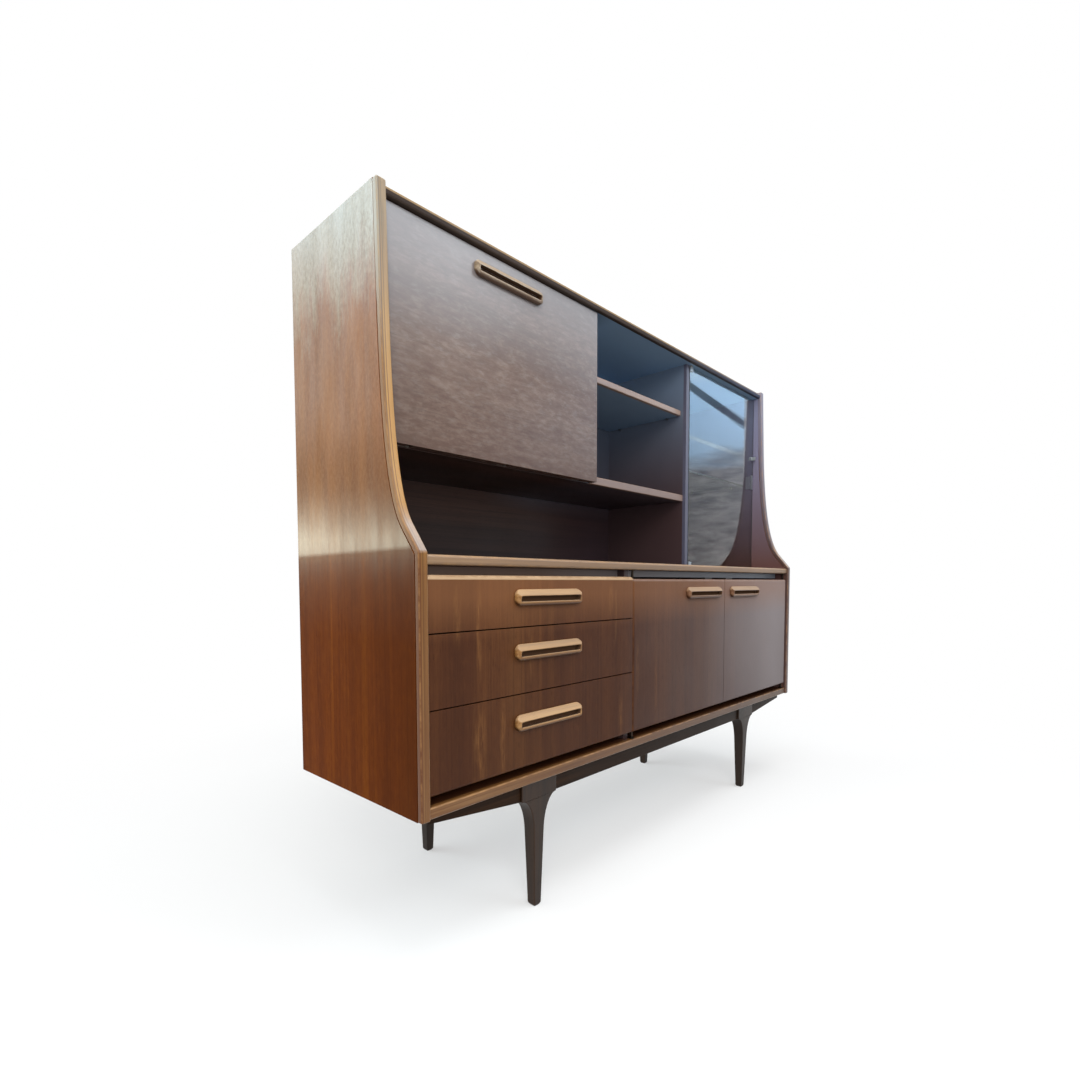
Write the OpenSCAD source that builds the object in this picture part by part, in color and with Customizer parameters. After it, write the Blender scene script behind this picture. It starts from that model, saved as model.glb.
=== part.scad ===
// A mid-century teak highboard: fall flap, open shelves and a glass door above a worktop,
// three drawers and two doors below it, on a leg frame.
// Depths are measured forwards from the back plane, and fy() turns a depth into Y.

/* [Overall] */
// Width over both sides
body_w = 1680; // [1500:10:1900]
// Height from the floor to the top of the sides
total_h = 1390; // [1330:5:1480]
// Depth of the sides below the worktop
side_d = 430; // [400:5:480]
// Depth of the sides at the very top
top_d = 322; // [312:2:340]
// Height of the carcass bottom above the floor
leg_h = 278; // [230:2:320]
// Height of the worktop's upper face
worktop_z = 735; // [710:5:790]

/* [Boards] */
// Thickness of the side panels
side_t = 20; // [18:1:24]
// Thickness of the dividers and the worktop
board_t = 18; // [15:1:20]
// Thickness of the top panel
top_t = 15; // [12:1:18]
// Thickness of the bottom panel
bottom_t = 21; // [18:1:25]
// Thickness of the floor of the upper cabinets
floor_t = 20; // [16:1:22]
// Thickness of the loose wooden shelves
shelf_t = 16; // [12:1:20]
// Thickness of the back panels
back_t = 4; // [3:0.5:6]
// How far the back panels sit in from the back plane
back_in = 1; // [0.5:0.5:4]
// Thickness of the glass shelf
glass_shelf_t = 6; // [5:1:8]

/* [Solid wood edges] */
// Depth of the edge strip on the sides
side_lip = 12; // [8:1:16]
// Depth of the edge strip on the worktop and the bottom
deck_lip = 12; // [10:1:16]
// Depth of the edge strip on the shelves, the top and the glass divider
shelf_lip = 10; // [6:1:12]
// How far the sides rise above the top panel
side_rise = 7; // [3:1:12]
// How far the sides stand proud of the worktop and bottom edges
side_proud = 5; // [2:1:8]
// How far the top panel sits back from the sides' front edge
top_back = 4; // [1:1:8]

/* [Side sweep] */
// Height of the sides' corner above the worktop
corner_up = 3; // [0:1:10]
// Depth over which the sloping corner runs back
corner_run = 38; // [30:1:46]
// Height over which the sloping corner rises
corner_rise = 48; // [36:1:56]
// Height at which the sweep has died away, above the corner
sweep_h = 462; // [380:2:520]
// Lean of the upper front edge over its height
sweep_lean = 6; // [2:1:10]
// How far down the sweep's upper end pulls on the curve
sweep_pull = 240; // [180:5:280]

/* [Upper section] */
// Height of the upper cabinets' floor, its top face
floor_z = 963; // [930:1:1000]
// Distance from the left inner face to the middle of the flap divider
flap_bay = 630; // [560:5:680]
// Distance from the right inner face to the middle of the glass divider
glass_bay = 505; // [440:5:560]
// Height of the middle shelf's top face
middle_shelf_z = 1228; // [1100:2:1300]
// Height of the shelf behind the flap, its top face
cabinet_shelf_z = 1196; // [1140:2:1260]
// Height of the glass shelf's top face
glass_shelf_z = 1056; // [900:2:1250]
// How far the shelf behind the flap sits back from the dividers' edges
cabinet_shelf_in = 50; // [35:5:80]
// How far the glass shelf sits back from the glass door
glass_shelf_in = 35; // [25:5:60]
// Depth of the flap's front face
flap_face_d = 309; // [303:1:311]
// Depth of the flap divider's front edge
divider_d = 290; // [284:1:290]
// Depth of the glass divider's front edge
glass_divider_d = 296; // [288:1:300]
// Depth of the open floor's front edge
floor_d = 287; // [284:1:290]
// Depth of the middle shelf's front edge
middle_shelf_d = 277; // [240:1:284]
// Depth of the glass pane's front face
glass_d = 297; // [290:1:302]
// Thickness of the glass pane
glass_t = 5; // [4:0.5:6]

/* [Fronts] */
// Thickness of the drawer fronts, the doors and the flap
front_t = 18; // [16:1:20]
// How far the lower fronts' faces sit back from the worktop's front edge
front_in = 1; // [0:0.5:8]
// Height of the shadow gaps above and below the lower fronts
recess_h = 17; // [14:1:22]
// How much lower the doors' upper edges are than the top drawer's
door_drop = 5; // [0:1:8]
// Gap between neighbouring fronts
front_gap = 2.5; // [2:0.5:4]
// Height of the top drawer's front
drawer_1_h = 100; // [90:2:116]
// Height of the middle drawer's front
drawer_2_h = 130; // [110:2:140]
// Distance from the left inner face to the drawer and door boundary
drawer_bay = 630; // [560:5:680]
// Radius of the top drawer's upper corners seen from the front
corner_r = 7; // [2:1:12]
// Radius of the rounded front edges along the shadow gaps
front_r = 7; // [3:1:9]
// How far the set-back rail under the worktop lies behind the lower fronts' faces
rail_in = 39; // [34:1:60]
// Thickness of the set-back rail
rail_t = 20; // [15:1:25]

/* [Handles] */
// Length of a handle
handle_l = 206; // [160:2:240]
// Height of a handle
handle_h = 33; // [30:1:42]
// How far a handle stands out
handle_p = 13; // [12:1:20]
// Corner radius of a handle seen from the front
handle_r = 15; // [8:1:15]
// Height of the finger slot
slot_h = 10; // [9:0.5:12]
// Wood left at each end of the finger slot
slot_end = 10; // [9:1:16]
// Height of a handle's sloping top
handle_slope = 13; // [10:1:16]
// Wood left under the finger slot
slot_low = 9; // [5:0.5:10]
// Distance from the drawer handles' middle up to the drawer front's middle, top drawer
handle_up_1 = 7; // [0:1:12]
// The same for the middle drawer
handle_up_2 = 17; // [0:1:24]
// The same for the bottom drawer
handle_up_3 = 19; // [0:1:40]
// Distance from a door's meeting edge to the near end of its handle
door_handle_in = 34; // [20:1:80]
// Distance from the top of the flap down to its handle's middle
flap_handle_down = 39; // [30:1:80]

/* [Drawer boxes] */
// Thickness of a drawer side and back
drawer_side_t = 12; // [10:1:14]
// Thickness of a drawer bottom
drawer_bottom_t = 4; // [3:0.5:6]
// Height of a drawer front above and below its box, together
drawer_box_less = 36; // [24:1:44]
// Height of the box above the lower edge of its front
drawer_box_up = 14; // [8:1:20]
// Gap between the back panel and a shut drawer
drawer_back_gap = 25; // [15:1:60]
// Height of the runner strips
runner_h = 10; // [8:1:12]
// How deep a runner reaches into the groove of a drawer side
runner_in = 5.5; // [4:0.5:6]
// Gap between a drawer box and the carcass on each side
drawer_gap = 1.5; // [1:0.25:3]
// Clearance above and below a runner in its groove
runner_gap = 0.2; // [0.1:0.05:0.5]
// How deep a drawer bottom sits in its grooves
bottom_in = 4; // [3:0.5:5]
// Height of a drawer bottom above the lower edge of its box
bottom_up = 8; // [6:1:12]

/* [Hinges and fittings] */
// Radius of the door pivot pins
door_pin_r = 3; // [2:0.5:4]
// Depth to which a door pivot pin enters the door
door_pin_in = 14; // [8:1:20]
// Radius of the flap hinge pins
flap_pin_r = 2; // [1.5:0.25:2.5]
// Length of a flap hinge pin
flap_pin_l = 40; // [30:2:60]
// Width of a flap hinge eye
flap_eye_w = 8; // [6:1:12]
// Depth of the floor's front edge behind the flap
flap_floor_d = 283; // [278:1:284]
// Distance from the flap hinge to each end of the stay
stay_r = 150; // [130:2:160]
// Angle of the stay's pivot on the side, above level
stay_angle = 60; // [52:1:66]
// Radius of the stay rod
stay_rod_r = 3; // [2.5:0.25:3.5]
// Distance from the side panel to the stay rod's middle
stay_in = 12; // [11:0.5:16]
// Distance from the glass door's edge to its pivot
glass_pivot_in = 8; // [6:0.5:8]
// Radius of the glass door's pivot pins
glass_pin_r = 2; // [1.5:0.25:2.5]
// Height of the web that carries the glass pane on its pivots
web_t = 4; // [3:0.5:5]
// Radius of a glass door pivot's flange
glass_flange_r = 7; // [5:0.5:8]
// Thickness of a glass door pivot's flange
glass_flange_t = 1.2; // [0.8:0.1:1.5]
// Height of the middle of the glass door's pull
pull_z = 1147; // [1000:1:1250]
// Height of the middle of the glass door's catch plate
plate_z = 1060; // [900:1:1200]
// Distance from the doors' meeting edges to the middle of each catch
catch_off = 70; // [45:5:120]
// Radius of the shelf pins
pin_r = 2.5; // [2:0.25:3]
// Distance from a shelf's front and back edges to its pins
pin_edge = 45; // [30:5:70]
// Depth of the holes for the shelf pins
pin_in = 8; // [6:1:10]
// Radial clearance of everything that turns on a pin
turn_gap = 0.05; // [0.02:0.01:0.1]

/* [Leg frame] */
// Height of the front and rear rails of the frame
apron_h = 40; // [34:1:50]
// Thickness of the rails of the frame
apron_t = 20; // [16:1:26]
// How far the front rail's face sits back from the sides' front edges
apron_in = 25; // [18:1:40]
// Distance from a side's outer face to the middle of a leg
leg_in = 323; // [240:1:400]
// Distance from the front rail's face back to the front legs' middle
front_leg_in = 12; // [8:1:17]
// Depth of the rear legs' middle
rear_leg_d = 24; // [22:1:40]
// Width of a leg below its shoulders
leg_w = 31; // [26:1:38]
// Depth of a leg at the top
leg_d = 34; // [30:1:40]
// Width of a leg at the floor
leg_tip = 20; // [16:1:26]
// Half width of a leg's shoulders
shoulder_w = 54; // [44:1:64]
// Height of the curve under a leg's shoulder
shoulder_h = 75; // [50:1:90]
// Height of the front rail at its outer ends
wing_h = 16; // [10:1:24]
// Distance from the sides' outer faces to the front rail's ends
wing_in = 33; // [24:1:60]
// Distance from a leg's middle to the nearest frame screw
screw_in = 95; // [60:5:120]
// Radius of a frame screw
screw_r = 2.5; // [2:0.25:3]
// Depth of a frame screw's head below the top of the frame
screw_down = 24; // [20:1:28]
// Length of a frame screw in the bottom panel
screw_up = 14; // [10:1:15]

/* [Hidden] */
$fn = 64;

teak = "#7a4526";
teak_edge = "#b07b42";
teak_dark = "#4e2d1c";
inside = "#5d3a26";
metal = "#8f8a80";

// Overlap of cuts past the faces that they open
cut = 1;
// Clearance of pieces that slide past each other or stand side by side
free_gap = 1.5;

deck_d = side_d - side_proud;
front_d = deck_d - front_in;
rail_d = front_d - rail_in;
apron_d = side_d - apron_in;
front_leg_d = apron_d - front_leg_in;
overall_d = max(side_d, front_d + handle_p);
back_y = overall_d / 2;
function fy(d) = back_y - d;

in_x = body_w / 2 - side_t;
leg_x = body_w / 2 - leg_in;
board_d = back_in + back_t;
top_z = total_h - side_rise;
ceiling_z = top_z - top_t;
worktop_under = worktop_z - board_t;
bottom_z = leg_h + bottom_t;
fronts_top = worktop_under - recess_h;
fronts_low = bottom_z + recess_h;
doors_top = fronts_top - door_drop;
fronts_h = fronts_top - fronts_low;
drawer_3_h = fronts_h - drawer_1_h - drawer_2_h - 2 * front_gap;
drawer_x = -in_x + drawer_bay;
door_x = (drawer_x + in_x) / 2;
flap_x = -in_x + flap_bay;
glass_x = in_x - glass_bay;
half_t = board_t / 2;
flap_r = flap_x + half_t - 0.5;
flap_low = floor_z - floor_t + 0.5;
flap_top = ceiling_z - 2;
flap_axis_d = flap_face_d - front_t / 2;
flap_axis_z = floor_z - front_t / 2;
flap_mid_x = (-in_x + free_gap + flap_r) / 2;
flap_eyes = [-0.82, 0, 0.82];

pivot_d = front_d - front_t / 2;
left_pivot_x = drawer_x + front_gap / 2 + front_t / 2;
right_pivot_x = in_x - free_gap - front_t / 2;
glass_low = worktop_z + free_gap + web_t;
glass_high = ceiling_z - free_gap - web_t;
glass_l = glass_x + half_t + 2;
glass_r = in_x - 2;
glass_pivot_x = glass_l + glass_pivot_in;
glass_pivot_d = glass_d - glass_t / 2;

stay_x = -in_x + stay_in;
stay_foot_out = 10;
stay_f_back = front_t / 2 + stay_foot_out;
stay_f_up = sqrt(stay_r * stay_r - stay_f_back * stay_f_back);
stay_f_d = flap_axis_d - stay_f_back;
stay_f_z = flap_axis_z + stay_f_up;
stay_p_d = flap_axis_d - stay_r * cos(stay_angle);
stay_p_z = flap_axis_z + stay_r * sin(stay_angle);
stay_turn = atan2(stay_f_up, stay_f_back) - stay_angle;
stay_open = 2 * stay_r * sin((90 + stay_turn) / 2);
stay_dir = atan2(stay_p_z - stay_f_z, stay_f_d - stay_p_d);
stay_block_l = 16;
stay_block_w = 12;

// A box from its two corners, with depths in place of Y
module slab(x0, x1, d0, d1, z0, z1) {
    translate([x0, fy(d1), z0])
        cube([x1 - x0, d1 - d0, z1 - z0]);
}

// A 2D outline in X and Z, set between two depths
module from_front(d0, d1) {
    translate([0, fy(d0), 0])
        rotate([90, 0, 0])
            linear_extrude(d1 - d0)
                children();
}

// A 2D outline in depth and Z, set between two places along X
module from_side(x0, x1) {
    translate([x1, back_y, 0])
        rotate([90, 0, -90])
            linear_extrude(x1 - x0)
                children();
}

module rod_x(x0, x1, d, z, r) {
    translate([x0, fy(d), z])
        rotate([0, 90, 0])
            cylinder(h = x1 - x0, r = r);
}

module rod_z(x, d, z0, z1, r) {
    translate([x, fy(d), z0])
        cylinder(h = z1 - z0, r = r);
}

// A rectangle with round corners, from its two corners
module round_rect(x0, x1, y0, y1, r) {
    translate([x0 + r, y0])
        square([x1 - x0 - 2 * r, y1 - y0]);
    translate([x0, y0 + r])
        square([x1 - x0, y1 - y0 - 2 * r]);
    for (x = [x0 + r, x1 - r], y = [y0 + r, y1 - r])
        translate([x, y])
            circle(r);
}

// The front edge of a side, as points of depth and height
corner_z = worktop_z + corner_up;
sweep_0 = [side_d - corner_run, corner_z + corner_rise];
sweep_1 = sweep_0 + [-corner_run, corner_rise];
sweep_3 = [top_d + sweep_lean, corner_z + sweep_h];
sweep_2 = sweep_3 + [sweep_lean, -sweep_pull];
sweep_steps = 24;
function sweep(t) = pow(1 - t, 3) * sweep_0 + 3 * pow(1 - t, 2) * t * sweep_1
                    + 3 * (1 - t) * pow(t, 2) * sweep_2 + pow(t, 3) * sweep_3;
side_edge = concat([[side_d, leg_h], [side_d, corner_z]],
                   [for (i = [0:sweep_steps]) sweep(i / sweep_steps)],
                   [[top_d, total_h]]);

// The same edge moved back by a distance, with mitred corners
function unit(v) = v / norm(v);
function normal(a, b) = unit([a[1] - b[1], b[0] - a[0]]);
function set_back(path, dist) = [
    for (i = [0:len(path) - 1])
        let (last = len(path) - 1,
             n1 = i > 0 ? normal(path[i - 1], path[i]) : normal(path[0], path[1]),
             n2 = i < last ? normal(path[i], path[i + 1]) : normal(path[last - 1], path[last]))
            i == last ? [path[i][0] + dist / n1[0], path[i][1]]
                      : path[i] + dist * (n1 + n2) / (1 + n1 * n2)];
side_inner_edge = set_back(side_edge, side_lip);

function backwards(path) = [for (i = [len(path) - 1:-1:0]) path[i]];

// Holes for the pins of a shelf, drilled into the faces at x0 and x1
module pin_holes(x0, x1, d0, d1, z) {
    for (d = pin_depths(d0, d1)) {
        rod_x(x0 - pin_in, x0 + cut, d, z - pin_r, pin_r + turn_gap);
        rod_x(x1 - cut, x1 + pin_in, d, z - pin_r, pin_r + turn_gap);
    }
}

function pin_depths(d0, d1) = [d0 + pin_edge, d1 - pin_edge];

module pins(x0, x1, d0, d1, z) {
    reach = 9;
    for (d = pin_depths(d0, d1)) {
        rod_x(x0 - pin_in + 0.5, x0 + reach, d, z - pin_r, pin_r);
        rod_x(x1 - reach, x1 + pin_in - 0.5, d, z - pin_r, pin_r);
    }
}

// The four shelves that lie on pins: left, right, back, front and underside
shelf_back_d = board_d + 3;
middle_shelf_at = [flap_x + half_t, glass_x - half_t, shelf_back_d, middle_shelf_d,
                   middle_shelf_z - shelf_t];
cabinet_shelf_at = [-in_x, flap_x - half_t, shelf_back_d, divider_d - cabinet_shelf_in,
                    cabinet_shelf_z - shelf_t];
glass_shelf_at = [glass_x + half_t, in_x, shelf_back_d, glass_d - glass_t - glass_shelf_in,
                  glass_shelf_z - glass_shelf_t];
cupboard_shelf_z = (bottom_z + worktop_under) / 2;
cupboard_shelf_at = [drawer_x + half_t, in_x, shelf_back_d, rail_d - rail_t,
                     cupboard_shelf_z - shelf_t];
shelf_side_gap = 1;

module holes_of(s) {
    pin_holes(s[0], s[1], s[2], s[3], s[4]);
}

module pins_of(s) {
    pins(s[0], s[1], s[2], s[3], s[4]);
}

module shelf_of(s, t) {
    slab(s[0] + shelf_side_gap, s[1] - shelf_side_gap, s[2], s[3], s[4], s[4] + t);
}

// Side panels
module side_outline() {
    polygon(concat([[0, total_h], [0, leg_h]], side_inner_edge));
}

module side_left() {
    color(teak)
        difference() {
            from_side(-in_x - side_t, -in_x)
                side_outline();
            holes_of(cabinet_shelf_at);
        }
}

module side_right() {
    color(teak)
        difference() {
            from_side(in_x, in_x + side_t)
                side_outline();
            holes_of(glass_shelf_at);
            holes_of(cupboard_shelf_at);
        }
}

module side_lippings() {
    color(teak_edge)
        for (x = [-in_x - side_t, in_x])
            from_side(x, x + side_t)
                polygon(concat(side_edge, backwards(side_inner_edge)));
}

// Top, worktop and bottom
top_front_d = top_d - top_back;

module top_panel() {
    color(teak)
        slab(-in_x, in_x, back_in, top_front_d - shelf_lip, ceiling_z, top_z);
}

module edge_strip(x0, x1, d0, d1, z0, z1, r) {
    from_side(x0, x1) {
        translate([d0, z0])
            square([d1 - d0 - r, z1 - z0]);
        translate([d0, z0 + r])
            square([d1 - d0, z1 - z0 - 2 * r]);
        for (z = [z0 + r, z1 - r])
            translate([d1 - r, z])
                circle(r);
    }
}

module top_lipping() {
    color(teak_edge)
        edge_strip(-in_x, in_x, top_front_d - shelf_lip, top_front_d, ceiling_z, top_z, 3);
}

module worktop() {
    color(teak)
        slab(-in_x, in_x, board_d, deck_d - deck_lip, worktop_under, worktop_z);
}

module worktop_lipping() {
    color(teak_edge)
        edge_strip(-in_x, in_x, deck_d - deck_lip, deck_d, worktop_under, worktop_z, 6);
}

module bottom_panel() {
    color(teak)
        difference() {
            slab(-in_x, in_x, board_d, deck_d - deck_lip, leg_h, bottom_z);
            frame_screw_holes();
        }
}

module bottom_lipping() {
    color(teak_edge)
        edge_strip(-in_x, in_x, deck_d - deck_lip, deck_d, leg_h, bottom_z, 4);
}

// Boards of the upper section
module upper_floor() {
    color(teak) {
        slab(-in_x, flap_r, board_d, flap_floor_d, floor_z - floor_t, floor_z);
        slab(flap_r, glass_x - half_t, board_d, floor_d - shelf_lip, floor_z - floor_t, floor_z);
    }
}

module flap_divider() {
    color(teak)
        difference() {
            slab(flap_x - half_t, flap_x + half_t, board_d, divider_d, floor_z, ceiling_z);
            holes_of(cabinet_shelf_at);
            holes_of(middle_shelf_at);
        }
}

module glass_divider() {
    color(teak)
        difference() {
            slab(glass_x - half_t, glass_x + half_t, board_d, glass_divider_d - shelf_lip,
                 worktop_z, ceiling_z);
            holes_of(middle_shelf_at);
            holes_of(glass_shelf_at);
        }
}

module middle_shelf() {
    s = middle_shelf_at;
    color(teak)
        slab(s[0] + shelf_side_gap, s[1] - shelf_side_gap, s[2], s[3] - shelf_lip,
             s[4], s[4] + shelf_t);
}

module shelf_lippings() {
    s = middle_shelf_at;
    color(teak_edge) {
        edge_strip(s[0] + shelf_side_gap, s[1] - shelf_side_gap, s[3] - shelf_lip, s[3],
                   s[4], s[4] + shelf_t, 2);
        edge_strip(flap_r + free_gap, glass_x - half_t, floor_d - shelf_lip, floor_d,
                   floor_z - floor_t, floor_z, 2);
        slab(glass_x - half_t, glass_x + half_t, glass_divider_d - shelf_lip, glass_divider_d,
             worktop_z, ceiling_z);
    }
}

module cabinet_shelf() {
    color(inside)
        shelf_of(cabinet_shelf_at, shelf_t);
}

module glass_shelf() {
    color("#9fc0b6", 0.5)
        shelf_of(glass_shelf_at, glass_shelf_t);
}

module cupboard_shelf() {
    color(inside)
        shelf_of(cupboard_shelf_at, shelf_t);
}

module shelf_pins() {
    color(metal) {
        pins_of(middle_shelf_at);
        pins_of(cabinet_shelf_at);
        pins_of(glass_shelf_at);
        pins_of(cupboard_shelf_at);
    }
}

module upper_back() {
    color(inside)
        slab(-in_x, in_x, back_in, board_d, worktop_z - half_t, ceiling_z);
}

module lower_back() {
    color(inside)
        slab(-in_x, in_x, back_in, board_d, leg_h, worktop_z - half_t);
}

// Boards of the lower section
module drawer_divider() {
    color(inside)
        difference() {
            slab(drawer_x - half_t, drawer_x + half_t, board_d, front_d - front_t - 2,
                 bottom_z, worktop_under);
            holes_of(cupboard_shelf_at);
        }
}

module recess_rail() {
    color(inside) {
        slab(-in_x, drawer_x - half_t, rail_d - rail_t, rail_d, fronts_top, worktop_under);
        slab(drawer_x + half_t, in_x, rail_d - rail_t, rail_d, fronts_top, worktop_under);
    }
}

// Drawers: number 0 is the top one
drawer_hs = [drawer_1_h, drawer_2_h, drawer_3_h];
handle_ups = [handle_up_1, handle_up_2, handle_up_3];
function drawer_low(n) = n == 2 ? fronts_low : drawer_low(n + 1) + drawer_hs[n + 1] + front_gap;
box_l = -in_x + drawer_gap;
box_r = drawer_x - half_t - drawer_gap;
box_back_d = board_d + drawer_back_gap;
box_front_d = front_d - front_t;
function box_low(n) = drawer_low(n) + drawer_box_up;
function box_h(n) = drawer_hs[n] - drawer_box_less;
function runner_z(n) = box_low(n) + box_h(n) / 2;

module drawer_runners() {
    color(inside)
        for (n = [0:2]) {
            z = runner_z(n) - runner_h / 2;
            slab(-in_x, box_l + runner_in, box_back_d, box_front_d - 4, z, z + runner_h);
            slab(box_r - runner_in, drawer_x - half_t, box_back_d, box_front_d - 4,
                 z, z + runner_h);
        }
}

module front_section(top_round, low_round, z0, z1, d1) {
    r_top = top_round ? front_r : 0.5;
    r_low = low_round ? front_r : 0.5;
    difference() {
        translate([d1 - front_t, z0])
            square([front_t, z1 - z0]);
        translate([d1 - r_top, z1 - r_top])
            square(r_top + cut);
        translate([d1 - r_low, z0 - cut])
            square(r_low + cut);
    }
    translate([d1 - r_top, z1 - r_top])
        circle(r_top);
    translate([d1 - r_low, z0 + r_low])
        circle(r_low);
}

module drawer_front(n) {
    z0 = drawer_low(n);
    z1 = z0 + drawer_hs[n];
    x0 = -in_x + free_gap;
    x1 = drawer_x - front_gap / 2;
    color(teak)
        difference() {
            from_side(x0, x1)
                front_section(n == 0, n == 2, z0, z1, front_d);
            if (n == 0)
                from_front(front_d - front_t - cut, front_d + cut)
                    for (s = [0, 1])
                        translate([s == 0 ? x0 : x1, z1])
                            mirror([s, 0])
                                difference() {
                                    translate([-cut, -corner_r])
                                        square(corner_r + cut);
                                    translate([corner_r, -corner_r])
                                        circle(corner_r);
                                }
        }
}

module drawer_box(n) {
    z0 = box_low(n);
    z1 = z0 + box_h(n);
    groove = runner_h / 2 + runner_gap;
    color("#a9794b")
        difference() {
            union() {
                slab(box_l, box_l + drawer_side_t, box_back_d, box_front_d, z0, z1);
                slab(box_r - drawer_side_t, box_r, box_back_d, box_front_d, z0, z1);
                slab(box_l + drawer_side_t, box_r - drawer_side_t, box_back_d,
                     box_back_d + drawer_side_t, z0 + bottom_up + drawer_bottom_t, z1);
            }
            for (x = [box_l, box_r])
                slab(x - runner_in - runner_gap, x + runner_in + runner_gap,
                     box_back_d - cut, box_front_d - cut,
                     runner_z(n) - groove, runner_z(n) + groove);
            slab(box_l + drawer_side_t - bottom_in, box_r - drawer_side_t + bottom_in,
                 box_back_d - cut, box_front_d + cut,
                 z0 + bottom_up, z0 + bottom_up + drawer_bottom_t);
        }
}

module drawer_bottom(n) {
    z0 = box_low(n) + bottom_up;
    color("#c9a06a")
        slab(box_l + drawer_side_t - bottom_in, box_r - drawer_side_t + bottom_in,
             box_back_d, box_front_d, z0, z0 + drawer_bottom_t);
}

// A bar handle with a finger slot, its middle at x and z on a face at depth d
module handle(x, z, d) {
    x0 = x - handle_l / 2;
    z0 = z - handle_h / 2;
    z1 = z0 + handle_h;
    r_end = handle_p - 2;
    nose = handle_p / 2;
    color(teak_edge)
        difference() {
            intersection() {
                from_front(d, d + handle_p)
                    round_rect(x0, x0 + handle_l, z0, z1, handle_r);
                from_side(x0, x0 + handle_l)
                    polygon([[d, z0], [d + nose, z0], [d + handle_p - 2, z0 + 3],
                             [d + handle_p, z1 - handle_slope - 1],
                             [d + handle_p, z1 - handle_slope], [d + 3, z1], [d, z1]]);
                translate([0, 0, z0])
                    linear_extrude(handle_h) {
                        translate([x0, fy(d) - handle_p + r_end])
                            square([handle_l, handle_p - r_end]);
                        translate([x0 + r_end, fy(d) - handle_p])
                            square([handle_l - 2 * r_end, handle_p]);
                        for (xc = [x0 + r_end, x0 + handle_l - r_end])
                            translate([xc, fy(d) - handle_p + r_end])
                                circle(r_end);
                    }
            }
            from_front(d - cut, d + handle_p + cut)
                round_rect(x0 + slot_end, x0 + handle_l - slot_end,
                           z0 + slot_low, z0 + slot_low + slot_h, slot_h / 2 - 0.5);
        }
}

drawer_mid_x = (-in_x + drawer_x) / 2;

module drawer_handle(n) {
    handle(drawer_mid_x, drawer_low(n) + drawer_hs[n] / 2 + handle_ups[n], front_d);
}

// Doors: x0 is the hinge edge and x1 the free edge
module door_panel(x0, x1, pivot_x) {
    r = front_t / 2;
    low = min(x0, x1);
    high = max(x0, x1);
    inner = x0 < x1 ? low : high - r;
    color(teak)
        difference() {
            intersection() {
                from_side(low, high)
                    front_section(true, true, fronts_low, doors_top, front_d);
                translate([0, 0, fronts_low])
                    linear_extrude(doors_top - fronts_low) {
                        difference() {
                            translate([low, fy(front_d)])
                                square([high - low, front_t]);
                            translate([inner - (x0 < x1 ? cut : 0), fy(front_d) - cut])
                                square([r + cut, front_t + 2 * cut]);
                        }
                        translate([pivot_x, fy(pivot_d)])
                            circle(r);
                    }
            }
            rod_z(pivot_x, pivot_d, fronts_low - cut, fronts_low + door_pin_in + 1,
                  door_pin_r + turn_gap);
            rod_z(pivot_x, pivot_d, doors_top - door_pin_in - 1, doors_top + cut,
                  door_pin_r + turn_gap);
        }
}

door_handle_z = drawer_low(0) + drawer_1_h / 2 + handle_up_1;

module left_door_panel() {
    door_panel(drawer_x + front_gap / 2, door_x - front_gap / 2, left_pivot_x);
}

module left_door_handle() {
    handle(door_x - door_handle_in - handle_l / 2, door_handle_z, front_d);
}

module right_door_panel() {
    door_panel(in_x - free_gap, door_x + front_gap / 2, right_pivot_x);
}

module right_door_handle() {
    handle(door_x + door_handle_in + handle_l / 2, door_handle_z, front_d);
}

module door_pivots() {
    flange_r = 8;
    flange_t = 2;
    color(metal)
        for (x = [left_pivot_x, right_pivot_x]) {
            rod_z(x, pivot_d, bottom_z, bottom_z + flange_t, flange_r);
            rod_z(x, pivot_d, bottom_z, fronts_low + door_pin_in, door_pin_r);
            rod_z(x, pivot_d, worktop_under - flange_t, worktop_under, flange_r);
            rod_z(x, pivot_d, doors_top - door_pin_in, worktop_under, door_pin_r);
        }
}

// The fall flap, its hinge and its stay
function eye_x(k) = flap_mid_x + k * (flap_r + in_x - free_gap) / 2;
eye_r = 5;
mortise_d = 6;

module flap_panel() {
    color(teak)
        difference() {
            from_side(-in_x + free_gap, flap_r)
                front_section(false, false, flap_low, flap_top, flap_face_d);
            for (k = flap_eyes) {
                x = eye_x(k);
                slab(x - flap_eye_w / 2 - 1, x + flap_eye_w / 2 + 1,
                     flap_face_d - front_t - cut, flap_axis_d + mortise_d,
                     flap_low - cut, flap_axis_z + mortise_d + 0.5);
                rod_x(x - flap_pin_l / 2, x + flap_pin_l / 2, flap_axis_d, flap_axis_z,
                      flap_pin_r);
            }
        }
}

module flap_handle() {
    handle(flap_mid_x, flap_top - flap_handle_down, flap_face_d);
}

module flap_hinge_pins() {
    color(metal)
        for (k = flap_eyes)
            rod_x(eye_x(k) - flap_pin_l / 2, eye_x(k) + flap_pin_l / 2,
                  flap_axis_d, flap_axis_z, flap_pin_r);
}

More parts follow.
